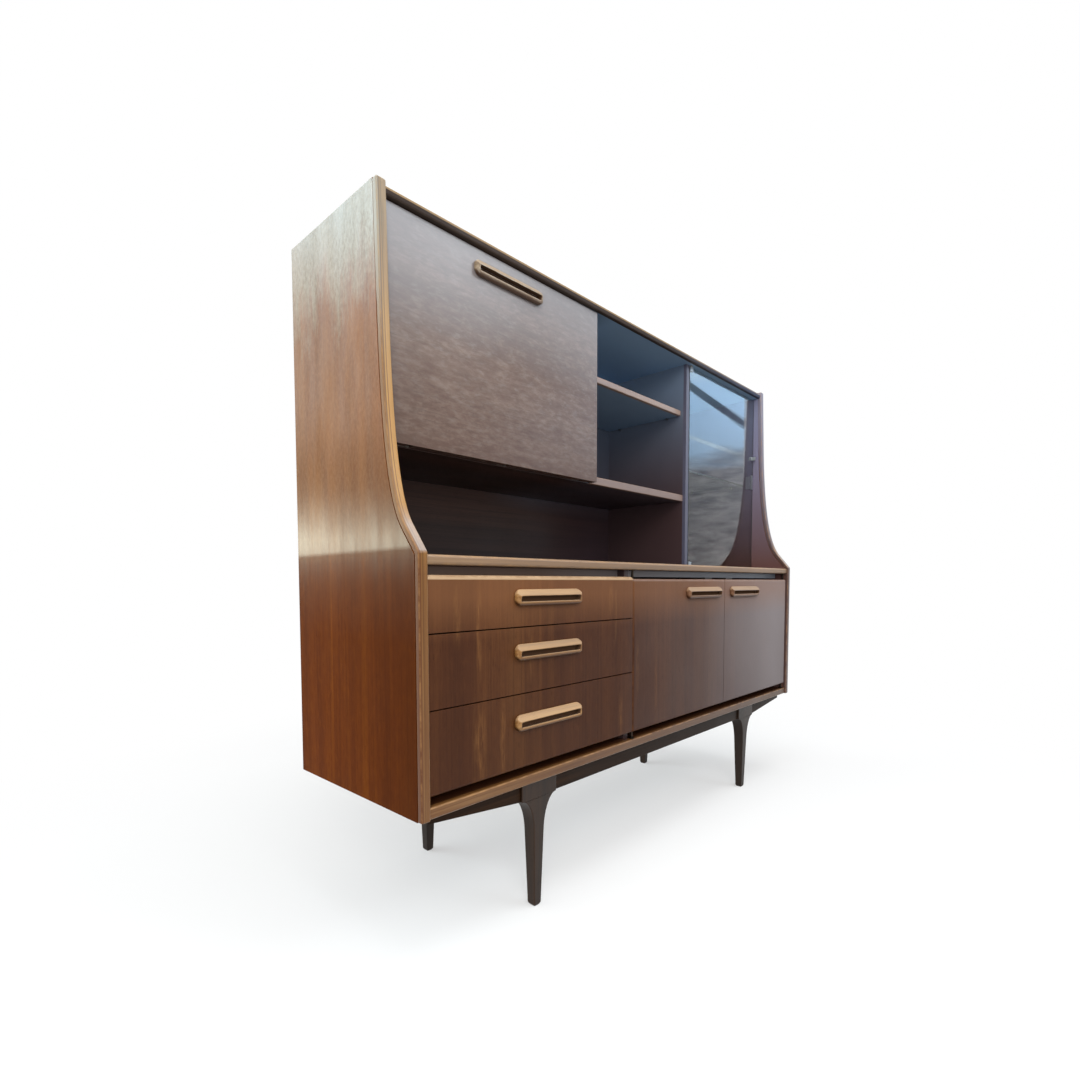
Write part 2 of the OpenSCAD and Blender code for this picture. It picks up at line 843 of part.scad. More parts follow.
module flap_hinge_brackets() {
    plate_w = 30;
    plate_t = 1.5;
    arm = 4;
    color(metal)
        for (k = flap_eyes) {
            x = eye_x(k);
            slab(x - plate_w / 2, x + plate_w / 2, flap_floor_d, flap_floor_d + plate_t,
                 floor_z - floor_t + 2, floor_z - 2);
            difference() {
                union() {
                    rod_x(x - flap_eye_w / 2, x + flap_eye_w / 2, flap_axis_d, flap_axis_z,
                          eye_r);
                    slab(x - flap_eye_w / 2, x + flap_eye_w / 2, flap_floor_d + plate_t,
                         flap_axis_d, flap_axis_z - arm, flap_axis_z + arm);
                }
                rod_x(x - flap_eye_w, x + flap_eye_w, flap_axis_d, flap_axis_z,
                      flap_pin_r + turn_gap);
            }
        }
}

stay_eye_r = 7;
stay_eye_t = 4;
stay_pin_r = 2.5;

module stay_foot() {
    lug_w = 6;
    lug_x = stay_x + stay_eye_t / 2 + 1;
    face_d = flap_face_d - front_t;
    color(metal) {
        slab(lug_x, lug_x + 22, face_d - 2, face_d, stay_f_z - 12, stay_f_z + 12);
        slab(lug_x, lug_x + lug_w, stay_f_d - 5, face_d - 2, stay_f_z - 6, stay_f_z + 6);
        rod_x(stay_x - stay_eye_t / 2 - 1, lug_x, stay_f_d, stay_f_z, stay_pin_r);
    }
}

// Places its children at a depth and height, with their X along the stay rod
module along_stay(d, z) {
    translate([stay_x, fy(d), z])
        rotate([stay_dir, 0, 0])
            rotate([0, 0, 90])
                children();
}

module stay_rod() {
    stop_t = 4;
    reach = stay_open + stay_block_l / 2 + 1;
    color(metal) {
        difference() {
            union() {
                rod_x(stay_x - stay_eye_t / 2, stay_x + stay_eye_t / 2, stay_f_d, stay_f_z,
                      stay_eye_r);
                along_stay(stay_f_d, stay_f_z)
                    translate([stay_pin_r + 2, 0, 0])
                        rotate([0, 90, 0])
                            cylinder(h = reach - stay_pin_r - 2, r = stay_rod_r);
                along_stay(stay_f_d, stay_f_z)
                    translate([reach, 0, 0])
                        rotate([0, 90, 0])
                            cylinder(h = stop_t, r = stay_rod_r + 2);
            }
            rod_x(stay_x - 10, stay_x + 10, stay_f_d, stay_f_z, stay_pin_r + turn_gap);
        }
    }
}

stay_boss_r = 7;
stay_boss_t = 5;
stay_stud_r = 3;

module stay_block() {
    block_x = -in_x + stay_boss_t + 0.5;
    color(metal)
        difference() {
            union() {
                along_stay(stay_p_d, stay_p_z)
                    translate([-stay_block_l / 2, -stay_block_w / 2, -stay_block_w / 2])
                        cube([stay_block_l, stay_x + stay_block_w / 2 - block_x, stay_block_w]);
                rod_x(-in_x + 0.5, stay_x - stay_block_w / 2 + 1, stay_p_d, stay_p_z,
                      stay_stud_r);
            }
            along_stay(stay_p_d, stay_p_z)
                translate([-stay_block_l, 0, 0])
                    rotate([0, 90, 0])
                        cylinder(h = 2 * stay_block_l, r = stay_rod_r + turn_gap);
        }
}

module stay_plate() {
    color(metal)
        difference() {
            union() {
                slab(-in_x, -in_x + 2, stay_p_d - 12, stay_p_d + 12,
                     stay_p_z - 24, stay_p_z + 24);
                rod_x(-in_x, -in_x + stay_boss_t, stay_p_d, stay_p_z, stay_boss_r);
            }
            rod_x(-in_x - cut, -in_x + stay_boss_t + cut, stay_p_d, stay_p_z,
                  stay_stud_r + turn_gap);
        }
}

// The glass door
clip_w = 18;
clip_h = 12;
clip_wall = 2;

module glass_pane() {
    color("#a9c4c8", 0.4)
        slab(glass_l, glass_r, glass_d - glass_t, glass_d, glass_low, glass_high);
}

module glass_clip(z_web, z_end) {
    difference() {
        slab(glass_l, glass_l + clip_w, glass_d - glass_t - clip_wall, glass_d + clip_wall,
             min(z_web, z_end), max(z_web, z_end));
        slab(glass_l - cut, glass_l + clip_w + cut, glass_d - glass_t, glass_d,
             glass_low, glass_high);
        rod_z(glass_pivot_x, glass_pivot_d, min(z_web, z_end) - cut, max(z_web, z_end) + cut,
              glass_pin_r + turn_gap);
    }
}

module glass_fittings() {
    pull_w = 22;
    pull_h = 12;
    pull_out = 12;
    plate_w = 13;
    plate_h = 52;
    plate_t = 1;
    color("#c0aa78") {
        glass_clip(glass_low - web_t, glass_low + clip_h);
        glass_clip(glass_high + web_t, glass_high - clip_h);
        difference() {
            union() {
                slab(glass_r - pull_w, glass_r + 1, glass_d - glass_t - clip_wall,
                     glass_d + clip_wall, pull_z - pull_h / 2, pull_z + pull_h / 2);
                slab(glass_r - pull_w / 2, glass_r - pull_w / 2 + 6, glass_d,
                     glass_d + pull_out, pull_z - pull_h / 2, pull_z + pull_h / 2);
            }
            slab(glass_r - pull_w - cut, glass_r, glass_d - glass_t, glass_d,
                 pull_z - pull_h, pull_z + pull_h);
        }
        difference() {
            slab(glass_r - plate_w, glass_r + plate_t, glass_d - glass_t - plate_t,
                 glass_d + plate_t, plate_z - plate_h / 2, plate_z + plate_h / 2);
            slab(glass_r - plate_w - cut, glass_r, glass_d - glass_t, glass_d,
                 plate_z - plate_h, plate_z + plate_h);
        }
    }
}

module glass_pivots() {
    flange_r = glass_flange_r;
    end_gap = glass_flange_t / 4;
    color(metal) {
        rod_z(glass_pivot_x, glass_pivot_d, worktop_z, worktop_z + glass_flange_t, flange_r);
        rod_z(glass_pivot_x, glass_pivot_d, worktop_z, glass_low - end_gap, glass_pin_r);
        rod_z(glass_pivot_x, glass_pivot_d, ceiling_z - glass_flange_t, ceiling_z, flange_r);
        rod_z(glass_pivot_x, glass_pivot_d, glass_high + end_gap, ceiling_z, glass_pin_r);
    }
}

// Magnetic catches, each fixed to what it hangs from
module catches() {
    catch_w = 45;
    catch_h = 14;
    touch = 0.3;
    door_back = front_d - front_t;
    color("#3a3632") {
        for (x = [door_x - catch_off, door_x + catch_off])
            slab(x - catch_w / 2, x + catch_w / 2, rail_d - rail_t, door_back - touch,
                 fronts_top - catch_h, fronts_top);
        slab(flap_mid_x - catch_w / 2, flap_mid_x + catch_w / 2,
             flap_face_d - front_t - 20, flap_face_d - front_t - touch,
             ceiling_z - catch_h, ceiling_z);
        slab(in_x - catch_h, in_x, glass_d - glass_t - 20, glass_d - glass_t - 1 - touch,
             plate_z - catch_w / 2, plate_z + catch_w / 2);
    }
}

// Leg frame
apron_z = leg_h - apron_h;
wing_x = body_w / 2 - wing_in;
screw_ds = [rear_leg_d + screw_in, front_leg_d - screw_in];
screw_head = 3;

module mirrored_x() {
    children();
    mirror([1, 0, 0])
        children();
}

module front_apron() {
    root_x = leg_x + shoulder_w;
    color(teak_dark)
        from_front(apron_d - apron_t, apron_d) {
            translate([-leg_x + shoulder_w, apron_z])
                square([2 * (leg_x - shoulder_w), apron_h]);
            for (s = [-1, 1])
                polygon([[s * root_x, apron_z], [s * root_x, leg_h],
                         [s * wing_x, leg_h], [s * wing_x, leg_h - wing_h]]);
        }
}

module rear_apron() {
    color(teak_dark)
        slab(-leg_x + shoulder_w, leg_x - shoulder_w, rear_leg_d - apron_t / 2,
             rear_leg_d + apron_t / 2, apron_z, leg_h);
}

// Half of a leg's front outline, from the floor up to the shoulder
shoulder_steps = 14;
function leg_half(z) = leg_tip / 2 + (leg_w - leg_tip) / 2 * z / (apron_z - shoulder_h);
function shoulder(k) = let (a = 90 * k / shoulder_steps)
    [leg_w / 2 + (shoulder_w - leg_w / 2) * (1 - cos(a)),
     apron_z - shoulder_h + shoulder_h * sin(a)];
leg_edge = concat([[leg_half(4) - 3, 0], [leg_half(4), 4]],
                  [for (k = [0:shoulder_steps]) shoulder(k)],
                  [[shoulder_w, leg_h]]);
function flipped(path) = [for (i = [len(path) - 1:-1:0]) [-path[i][0], path[i][1]]];

module leg(x, d) {
    color(teak_dark)
        intersection() {
            from_front(d - leg_d / 2, d + leg_d / 2)
                translate([x, 0])
                    polygon(concat(leg_edge, flipped(leg_edge)));
            from_side(x - shoulder_w, x + shoulder_w)
                polygon([[d - leg_tip / 2 + 2, 0], [d + leg_tip / 2 - 2, 0],
                         [d + leg_tip / 2, 4], [d + leg_d / 2, apron_z],
                         [d + leg_d / 2, leg_h], [d - leg_d / 2, leg_h],
                         [d - leg_d / 2, apron_z], [d - leg_tip / 2, 4]]);
        }
}

module cross_rails() {
    rail_w = 24;
    rail_h = apron_h - 6;
    color(teak_dark)
        difference() {
            for (x = [-leg_x, leg_x])
                slab(x - rail_w / 2, x + rail_w / 2, rear_leg_d + leg_d / 2,
                     front_leg_d - leg_d / 2, leg_h - rail_h, leg_h);
            frame_screw_holes();
        }
}

screw_low = leg_h - screw_down;
screw_high = leg_h + screw_up;

module frame_screw_holes() {
    for (x = [-leg_x, leg_x], d = screw_ds) {
        rod_z(x, d, leg_h - apron_h, screw_high + 1, screw_r + turn_gap);
        rod_z(x, d, leg_h - apron_h, screw_low, 2 * screw_r + 0.3);
    }
}

module frame_screws() {
    color(metal)
        for (x = [-leg_x, leg_x], d = screw_ds) {
            rod_z(x, d, screw_low - screw_head, screw_low, 2 * screw_r);
            rod_z(x, d, screw_low, screw_high, screw_r);
        }
}

side_left();
side_right();
side_lippings();
top_panel();
top_lipping();
worktop();
worktop_lipping();
bottom_panel();
bottom_lipping();
upper_floor();
flap_divider();
glass_divider();
middle_shelf();
shelf_lippings();
cabinet_shelf();
glass_shelf();
cupboard_shelf();
shelf_pins();
upper_back();
lower_back();
drawer_divider();
recess_rail();
drawer_runners();
front_apron();
rear_apron();
cross_rails();
leg(-leg_x, front_leg_d);  // leg_front_left
leg(leg_x, front_leg_d);  // leg_front_right
leg(-leg_x, rear_leg_d);  // leg_rear_left
leg(leg_x, rear_leg_d);  // leg_rear_right
frame_screws();
flap_hinge_brackets();
door_pivots();
glass_pivots();
catches();
stay_plate();
flap_panel();
flap_handle();
flap_hinge_pins();
stay_foot();
stay_rod();
stay_block();
drawer_front(0);  // drawer_1_front
drawer_handle(0);  // drawer_1_handle
drawer_box(0);  // drawer_1_box
drawer_bottom(0);  // drawer_1_bottom
drawer_front(1);  // drawer_2_front
drawer_handle(1);  // drawer_2_handle
drawer_box(1);  // drawer_2_box
drawer_bottom(1);  // drawer_2_bottom
drawer_front(2);  // drawer_3_front
drawer_handle(2);  // drawer_3_handle
drawer_box(2);  // drawer_3_box
drawer_bottom(2);  // drawer_3_bottom
left_door_panel();
left_door_handle();
right_door_panel();
right_door_handle();
glass_pane();
glass_fittings();
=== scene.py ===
"""Looks of the highboard: materials, softened edges, studio and camera.

Lengths are in metres, in the CAD model's frame: X to the right, Y to the back, Z up.
The CAD solids keep their places and meshes. They get materials, and modifiers that only
soften their edges.
"""
import math
import random

import bpy
from mathutils import Matrix, Vector

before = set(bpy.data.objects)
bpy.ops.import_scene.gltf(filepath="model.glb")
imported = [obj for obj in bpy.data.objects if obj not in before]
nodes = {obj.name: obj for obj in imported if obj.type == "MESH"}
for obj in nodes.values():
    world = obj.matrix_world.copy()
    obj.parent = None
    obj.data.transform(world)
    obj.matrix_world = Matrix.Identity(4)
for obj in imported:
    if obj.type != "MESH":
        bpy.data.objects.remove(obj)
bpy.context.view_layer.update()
scene = bpy.context.scene

X, Y, Z = 0, 1, 2
EVEN = (1, 1, 1)  # a scale that draws nothing out
WHITE = (1.0, 1.0, 1.0)


def srgb(r, g, b):
    """The linear colour of one written from 0 to 255."""
    def linear(v):
        v /= 255
        return v / 12.92 if v <= 0.04045 else ((v + 0.055) / 1.055) ** 2.4
    return (linear(r), linear(g), linear(b))


def scaled(colour, factor):
    return tuple(c * factor for c in colour)


def own_place(name):
    """Where in its noises a material starts, so that no two look the same."""
    rng = random.Random(name)
    return [rng.uniform(-9, 9) for _ in range(3)]


# ---------------------------------------------------------------- node helpers
class Nodes:
    """Short calls that build a node tree."""

    def __init__(self, tree):
        self.tree = tree
        tree.nodes.clear()

    def put(self, socket, value):
        """Link the socket to another one, or set its value."""
        if isinstance(value, bpy.types.NodeSocket):
            self.tree.links.new(value, socket)
        else:
            socket.default_value = value

    def node(self, kind, *values, **props):
        """A node of this kind, with its first inputs put in order."""
        n = self.tree.nodes.new(kind)
        for key, value in props.items():
            setattr(n, key, value)
        for socket, value in zip(n.inputs, values):
            self.put(socket, value)
        return n

    def coordinate(self, kind):
        return self.node("ShaderNodeTexCoord").outputs[kind]

    def split(self, vector):
        return self.node("ShaderNodeSeparateXYZ", vector).outputs

    def coords(self, offset=(0, 0, 0), scale=EVEN, kind="Object"):
        """Coordinates that are scaled, then moved."""
        n = self.node("ShaderNodeMapping", self.coordinate(kind))
        n.inputs["Location"].default_value = offset
        n.inputs["Scale"].default_value = scale
        return n.outputs[0]

    def xyz(self, axes):
        """Object coordinates named in axes, such as "XZ"."""
        parts = self.split(self.coordinate("Object"))
        return [parts["XYZ".index(a)] for a in axes]

    def normal(self, axis):
        """One part of the normal, in the piece's own frame."""
        return self.split(self.coordinate("Normal"))[axis]

    def noise(self, vector, scale, detail, rough, distortion=0.0):
        n = self.node("ShaderNodeTexNoise")
        for name, value in (("Vector", vector), ("Scale", scale), ("Detail", detail),
                            ("Roughness", rough), ("Distortion", distortion)):
            self.put(n.inputs[name], value)
        return n.outputs["Fac"]

    @staticmethod
    def rgba(c):
        """A colour, or a grey given as one number, with its alpha."""
        return (c, c, c, 1) if isinstance(c, (int, float)) else (*c, 1)

    def ramp(self, fac, stops, mode="LINEAR"):
        """A colour ramp. stops are places with their colours or greys."""
        n = self.node("ShaderNodeValToRGB", fac)
        n.color_ramp.interpolation = mode
        elements = n.color_ramp.elements
        while len(elements) > 1:
            elements.remove(elements[-1])
        elements[0].position, elements[0].color = stops[0][0], self.rgba(stops[0][1])
        for place, colour in stops[1:]:
            elements.new(place).color = self.rgba(colour)
        return n.outputs[0]

    def mix(self, amount, a, b, mode="MIX"):
        """Colour a with this amount of colour b."""
        n = self.node("ShaderNodeMix", amount, data_type="RGBA", blend_type=mode)
        for socket, value in ((n.inputs[6], a), (n.inputs[7], b)):
            is_socket = isinstance(value, bpy.types.NodeSocket)
            self.put(socket, value if is_socket else self.rgba(value))
        return n.outputs[2]

    def math(self, operation, *values, clamp=False):
        return self.node("ShaderNodeMath", *values, operation=operation,
                         use_clamp=clamp).outputs[0]

    def chain(self, operation, first, *others):
        for other in others:
            first = self.math(operation, first, other)
        return first

    def add(self, *values):
        return self.chain("ADD", *values)

    def mul(self, *values):
        return self.chain("MULTIPLY", *values)

    def most(self, *values):
        return self.chain("MAXIMUM", *values)

    def absolute(self, value):
        return self.math("ABSOLUTE", value)

    def minus(self, value, taken):
        return self.math("SUBTRACT", value, taken)

    def above(self, value, level):
        return self.math("GREATER_THAN", value, level)

    def below(self, value, level):
        return self.math("LESS_THAN", value, level)

    def away(self, value, middle):
        """How far the value is from the middle."""
        return self.absolute(self.minus(value, middle))

    def rise(self, value, low, high):
        """0 at low and before it, 1 at high and beyond it. low may be the larger one."""
        n = self.node("ShaderNodeMapRange", value)
        n.inputs["From Min"].default_value = low
        n.inputs["From Max"].default_value = high
        return n.outputs[0]

    def bump(self, height, strength, distance):
        n = self.node("ShaderNodeBump")
        for name, value in (("Strength", strength), ("Distance", distance),
                            ("Height", height)):
            self.put(n.inputs[name], value)
        return n.outputs[0]


class Material(Nodes):
    """A material with one Principled shader."""

    def __init__(self, name):
        self.mat = bpy.data.materials.new(name)
        self.mat.use_nodes = True
        super().__init__(self.mat.node_tree)
        self.bsdf = self.node("ShaderNodeBsdfPrincipled")
        self.node("ShaderNodeOutputMaterial", self.bsdf.outputs[0])

    def shade(self, name, value):
        """Put a value or a link on the shader's input of this name."""
        self.put(self.bsdf.inputs[name], value)


# ---------------------------------------------------------------- wood
HANDLES = {  # the middle of each handle on X and Z
    "drawer_1": (-0.505, 0.657), "drawer_2": (-0.505, 0.5495), "drawer_3": (-0.505, 0.4095),
    "left_door": (0.178, 0.657), "right_door": (0.452, 0.657), "flap": (-0.500, 1.327),
}
SLOT_DROP = 0.0025  # a finger slot's middle lies this far below its handle's
SLOT_HALF_X, SLOT_HALF_Z = 0.0934, 0.0053
# painted shade inside the finger slots
SLOT_SHADE = (0.085, 0.042, 0.022)
FACE = 0.985  # one part of a flat face's normal is at least this
MATT_ROUGH = 0.72
GRAIN_BUMP, GRAIN_DEPTH = 0.10, 0.0005


def slot_mask(t, places):
    """1 inside the finger slots at these places, 0 elsewhere and on rear faces."""
    x, z = t.xyz("XZ")
    inside = [t.mul(t.below(t.away(x, middle_x), SLOT_HALF_X),
                    t.below(t.away(z, middle_z - SLOT_DROP), SLOT_HALF_Z))
              for middle_x, middle_z in places]
    return t.mul(t.most(*inside), t.rise(t.normal(Y), 0.6, 0.3))


def edge_mask(t, kind):
    """1 on softened edges, 0 on faces. kind is "box", "dense", or the axis of the ends."""
    if kind == "dense":
        geometry = t.node("ShaderNodeNewGeometry")
        return t.ramp(geometry.outputs["Pointiness"], [(0.51, 0.0), (0.56, 1.0)])
    if kind == "box":
        return t.rise(t.most(*[t.absolute(t.normal(axis)) for axis in (X, Y, Z)]), FACE, 0.90)
    part = t.absolute(t.normal(kind))
    return t.mul(t.rise(part, 0.15, 0.40), t.rise(part, FACE, 0.93))


def wood(name, grain, dark, mid, light, bands=8.0, spread=(0.36, 0.50, 0.64), gold=0.0,
         gold_tone=None, rough=(0.34, 0.48), spec=0.25, coat=0.0, coat_rough=0.2, pores=0.45,
         lines=0.35, fleck=0.0, wear_and_glint=0.35, wear_and_glint_tone=None, zones=None, gloss=None, matt=None,
         slots=(), edge="box", crackle=0.0):
    """Teak with its grain along one axis, X, Y or Z.

    spread says where the figure is dark, mid and light. zones(t, base) changes the colour
    from place to place, gloss(t) gives the coat's weight, matt(t) is 1 where it is dull,
    slots are the places of finger slots, which are painted dark in shade, and crackle is the
    unevenness of the polish.
    """
    t = Material(name)
    place = own_place(name)

    def along(stretch):
        """Coordinates that draw a pattern out along the grain."""
        scale = [1.0, 1.0, 1.0]
        scale[grain] = stretch
        return t.coords(place, scale)

    # growth bands in three widths, all drawn out along the grain
    broad = t.noise(along(0.035), bands, 2.0, 0.5, 0.35)
    middle = t.noise(along(0.03), bands * 3.7, 3.0, 0.55, 0.35)
    narrow = t.noise(along(0.015), bands * 13.0, 4.0, 0.6, 0.2)
    figure = t.add(t.mul(broad, 0.50), t.mul(middle, 0.30), t.mul(narrow, 0.20))
    base = t.ramp(figure, list(zip(spread, (dark, mid, light))))
    if gold:
        # golden columns of sapwood and silky figure
        column = t.ramp(t.noise(along(0.02), bands * 0.8, 2.0, 0.5, 0.1),
                        [(0.54, 0.0), (0.66, 1.0)])
        broken = t.ramp(t.noise(along(0.25), 7.0, 3.0, 0.6), [(0.30, 0.35), (0.62, 1.0)])
        base = t.mix(t.mul(column, broken, gold), base, gold_tone)
    # thin dark lines along the grain
    line = t.ramp(t.noise(along(0.012), 210.0, 3.0, 0.6, 0.15), [(0.50, 0.0), (0.66, 1.0)])
    base = t.mix(t.mul(line, lines), base, scaled(dark, 0.55))
    # open pores, short dark dashes
    pore = t.ramp(t.noise(along(0.05), 950.0, 2.0, 0.6), [(0.60, 0.0), (0.70, 1.0)])
    base = t.mix(t.mul(pore, pores), base, scaled(dark, 0.40))
    if fleck:
        # short soft flecks of the figure, a few millimetres long
        grit = t.noise(along(0.40), 85.0, 4.0, 0.62, 0.5)
        base = t.mix(t.mul(t.ramp(grit, [(0.46, 0.0), (0.66, 1.0)]), fleck), base, dark)
        base = t.mix(t.mul(t.ramp(grit, [(0.30, 1.0), (0.45, 0.0)]), fleck * 0.8), base,
                     light)
    if zones:
        base = zones(t, base)
    # gloss: pores are dull, hands and cloths leave polished patches
    polish = t.noise(along(1.0), 5.0, 4.0, 0.55)
    roughness = t.math("ADD", t.ramp(polish, [(0.32, rough[0]), (0.68, rough[1])]),
                       t.mul(pore, 0.15), clamp=True)
    if slots:
        # painted shade inside the finger slots, on the handle and on the face behind it
        slot_shade_mask = slot_mask(t, slots)
        base = t.mix(slot_shade_mask, base, SLOT_SHADE)
        roughness = t.most(roughness, slot_shade_mask)
    if matt:
        roughness = t.most(roughness, t.mul(matt(t), MATT_ROUGH))
    # rubbed edges; where the edge tone is near white, as on the flap's handle, it is a
    # painted highlight
    patchy = t.ramp(t.noise(along(1.0), 38.0, 4.0, 0.6), [(0.38, 0.0), (0.62, 1.0)])
    base = t.mix(t.mul(edge_mask(t, edge), patchy, wear_and_glint), base,
                 wear_and_glint_tone or scaled(light, 1.2))
    t.shade("Base Color", base)
    t.shade("Roughness", roughness)
    t.shade("Specular IOR Level", spec)
    t.shade("Coat Roughness", coat_rough)
    t.shade("Coat Weight", gloss(t) if gloss else coat)
    height = t.add(t.mul(narrow, 0.7), t.mul(pore, -0.8))
    if crackle:
        height = t.add(height, t.mul(t.noise(along(0.5), 70.0, 5.0, 0.65, 0.4), crackle))
    t.shade("Normal", t.bump(height, GRAIN_BUMP, GRAIN_DEPTH))
    return t.mat


# ---------------------------------------------------------------- tones, painted light and painted shade by place
DRAWERS_END_X = -0.19  # the drawers lie left of this, the doors right of it
GLASS_STRIP_X = 0.3055  # the glass divider's strip lies right of this
STRIP_SEAM_X = -0.8315  # a thin dark line along the left strip
STRIP_CORNER_X = -0.8362  # where the left strip rounds over to its outer face
FLOOR_LOW_Z, FLOOR_HIGH_Z = 0.94, 0.96  # in the upper cabinets' floor
SHELF_LOW_Z, SHELF_HIGH_Z = 1.212, 1.226  # in the middle shelf
RAIL_LOW_Z, RAIL_HIGH_Z = 0.69, 0.72  # the shadow gap under the worktop
DRAWER_TOP_HIGHLIGHT_Z = (0.6915, 0.6925)  # the top drawer's painted highlight lies between these heights,
DOOR_TOP_HIGHLIGHT_Z = (0.6885, 0.6900)  # the doors' painted highlight between these,
TOP_STRIP_HIGHLIGHT_Z = (1.3772, 1.3782)  # and the top strip's painted highlight between these
STREAK_FADE = 0.05  # how far a golden streak fades out at its ends


def outer_left(t, x):
    """1 on the left side's outer face."""
    return t.mul(t.rise(t.normal(X), -0.80, -0.95), t.below(x, 0.0))


def outer(t, axis):
    """1 on faces that look up (axis Z) or back (axis Y)."""
    return t.rise(t.normal(axis), 0.3, 0.6)


def under(t, low, high):
    """1 on faces that look down."""
    return t.rise(t.mul(t.normal(Z), -1.0), low, high)


def side_zones(t, base):
    """Richer below the worktop's level; above it a painted sheen, turning to a pale painted
    reflection towards the top.
    """
    x, y, z = t.xyz("XYZ")
    outside = outer_left(t, x)
    grit = t.noise(t.coords((1, 4, 2), (1.0, 1.0, 0.60)), 150.0, 5.0, 0.70)
    # painted sheen above the worktop: paler, with bright specks and a golden glow
    upper_sheen = t.mul(t.rise(z, 0.725, 0.775), outside)
    base = t.mix(t.mul(upper_sheen, 0.38), base, srgb(140, 100, 66))
    sheen_speck = t.mul(upper_sheen, t.ramp(grit, [(0.40, 0.0), (0.66, 0.20)]))
    base = t.mix(sheen_speck, base, srgb(180, 142, 104))
    glow = t.ramp(t.noise(t.coords((2, 8, 3), (1.0, 5.0, 1.3)), 3.4, 3.0, 0.5),
                  [(0.44, 0.0), (0.64, 0.20)])
    base = t.mix(t.mul(upper_sheen, glow), base, srgb(172, 116, 52))
    # painted reflection near the top, pale and grey, with a cloudy border
    cloud = t.noise(t.coords((3, 5, 1), (1.0, 7.0, 1.6)), 3.0, 6.0, 0.68)
    height = t.add(z, t.mul(t.minus(cloud, 0.5), 0.42))
    top_reflection = t.mul(t.rise(height, 1.18, 1.30), 0.62, outside)
    base = t.mix(top_reflection, base, t.mix(t.ramp(grit, [(0.36, 0.0), (0.64, 1.0)]),
                                       srgb(140, 140, 122), srgb(178, 180, 164)))
    # the rear edge is quiet, and the deep lower part darkens towards the front in painted
    # shade
    base = t.mix(t.mul(t.rise(t.normal(Y), 0.3, 0.7), 0.7), base, srgb(74, 44, 28))
    front_shade = t.mul(t.rise(y, 0.14, -0.20), t.rise(z, 1.0, 0.8))
    base = t.mix(t.mul(front_shade, 0.60), base, srgb(54, 24, 10))
    # the right side is lightened where the lamps leave it dark, as painted light, and its
    # inner face carries a painted reflection, grey-brown below and bluish towards the top
    right = t.above(x, 0.0)
    base = t.mix(t.mul(right, 0.48), base, srgb(146, 98, 68))
    right_inner_reflection = t.mul(right, 0.85, t.rise(t.normal(X), -0.3, -0.7))
    return t.mix(right_inner_reflection, base, t.mix(t.rise(z, 0.75, 1.30), srgb(104, 77, 76),
                                    srgb(142, 150, 182)))


def side_gloss(t):
    """The polish survives on the left side's upper part, and faintly on the right side."""
    x, z = t.xyz("XZ")
    level = t.most(t.rise(z, 0.738, 0.750), t.mul(t.rise(z, 0.58, 0.72), 0.30))
    worn = t.ramp(t.noise(t.coords((7, 2, 4), (1.0, 6.0, 1.1)), 5.0, 6.0, 0.68),
                  [(0.30, 0.55), (0.66, 1.0)])
    right = t.mul(t.rise(t.normal(X), 0.80, 0.95), t.above(x, 0.0))
    return t.add(t.mul(level, outer_left(t, x), worn), t.mul(right, 0.16))


GOLD_STREAKS = [  # middle and half width on X, lower and upper end on Z, strength
    (-0.701, 0.0090, 0.500, 0.700, 0.44), (-0.752, 0.0120, 0.560, 0.700, 0.44),
    (-0.700, 0.0220, 0.290, 0.480, 0.40), (-0.640, 0.0110, 0.300, 0.470, 0.40),
    (-0.285, 0.0160, 0.605, 0.690, 0.48), (-0.262, 0.0060, 0.540, 0.690, 0.40),
    (-0.168, 0.0110, 0.380, 0.560, 0.24), (-0.560, 0.0080, 0.480, 0.610, 0.36),
    (-0.080, 0.0080, 0.320, 0.500, 0.20), (-0.240, 0.0120, 0.300, 0.430, 0.40),
]


def front_zones(t, base):
    """Painted reflection, cooler and greyer towards the right; painted shade towards the
    floor; painted light on the top drawer; painted highlights on the upper edges.
    """
    x, z = t.xyz("XZ")
    face = t.rise(t.normal(Y), 0.5, -0.1)
    # painted reflection of the bluish window on the front faces, stronger towards the right
    base = t.mix(t.mul(t.rise(x, -0.25, 0.65), 0.74, face), base, srgb(108, 96, 95))
    base = t.mix(t.mul(t.rise(x, 0.18, 0.72), 0.80, face), base, srgb(150, 141, 142))
    # painted shade towards the floor, and painted light on the top drawer and the tops of the
    # doors
    base = t.mix(t.mul(t.rise(z, 0.62, 0.34), 0.24), base, srgb(44, 22, 12))
    base = t.mix(t.mul(t.rise(z, 0.58, 0.66), 0.34), base, srgb(156, 106, 70))
    # golden streaks with ragged, mottled borders
    ragged = t.noise(t.coords((4, 2, 6), (1.0, 1.0, 0.10)), 190.0, 3.0, 0.6)
    mottle = t.noise(t.coords((1, 7, 3), (1.0, 1.0, 0.5)), 60.0, 4.0, 0.6)
    ragged = t.mul(t.ramp(ragged, [(0.38, 0.05), (0.62, 1.0)]),
                   t.ramp(mottle, [(0.36, 0.35), (0.58, 1.0)]))
    for middle, half, low, high, strength in GOLD_STREAKS:
        ends = t.mul(t.rise(z, low, low + STREAK_FADE), t.rise(z, high, high - STREAK_FADE))
        streak = t.mul(t.rise(t.away(x, middle), half, 0.0), ends, ragged, face, strength)
        base = t.mix(streak, base, srgb(154, 106, 62))
    # painted highlights along the rounded top edges of the top drawer and of the doors
    drawer_top_highlight = t.mul(t.rise(z, *DRAWER_TOP_HIGHLIGHT_Z), t.below(x, DRAWERS_END_X))
    base = t.mix(t.mul(drawer_top_highlight, 0.95), base, srgb(190, 158, 124))
    door_top_highlight = t.mul(t.rise(z, *DOOR_TOP_HIGHLIGHT_Z), t.above(x, DRAWERS_END_X))
    return t.mix(t.mul(door_top_highlight, 0.55), base, srgb(150, 128, 118))


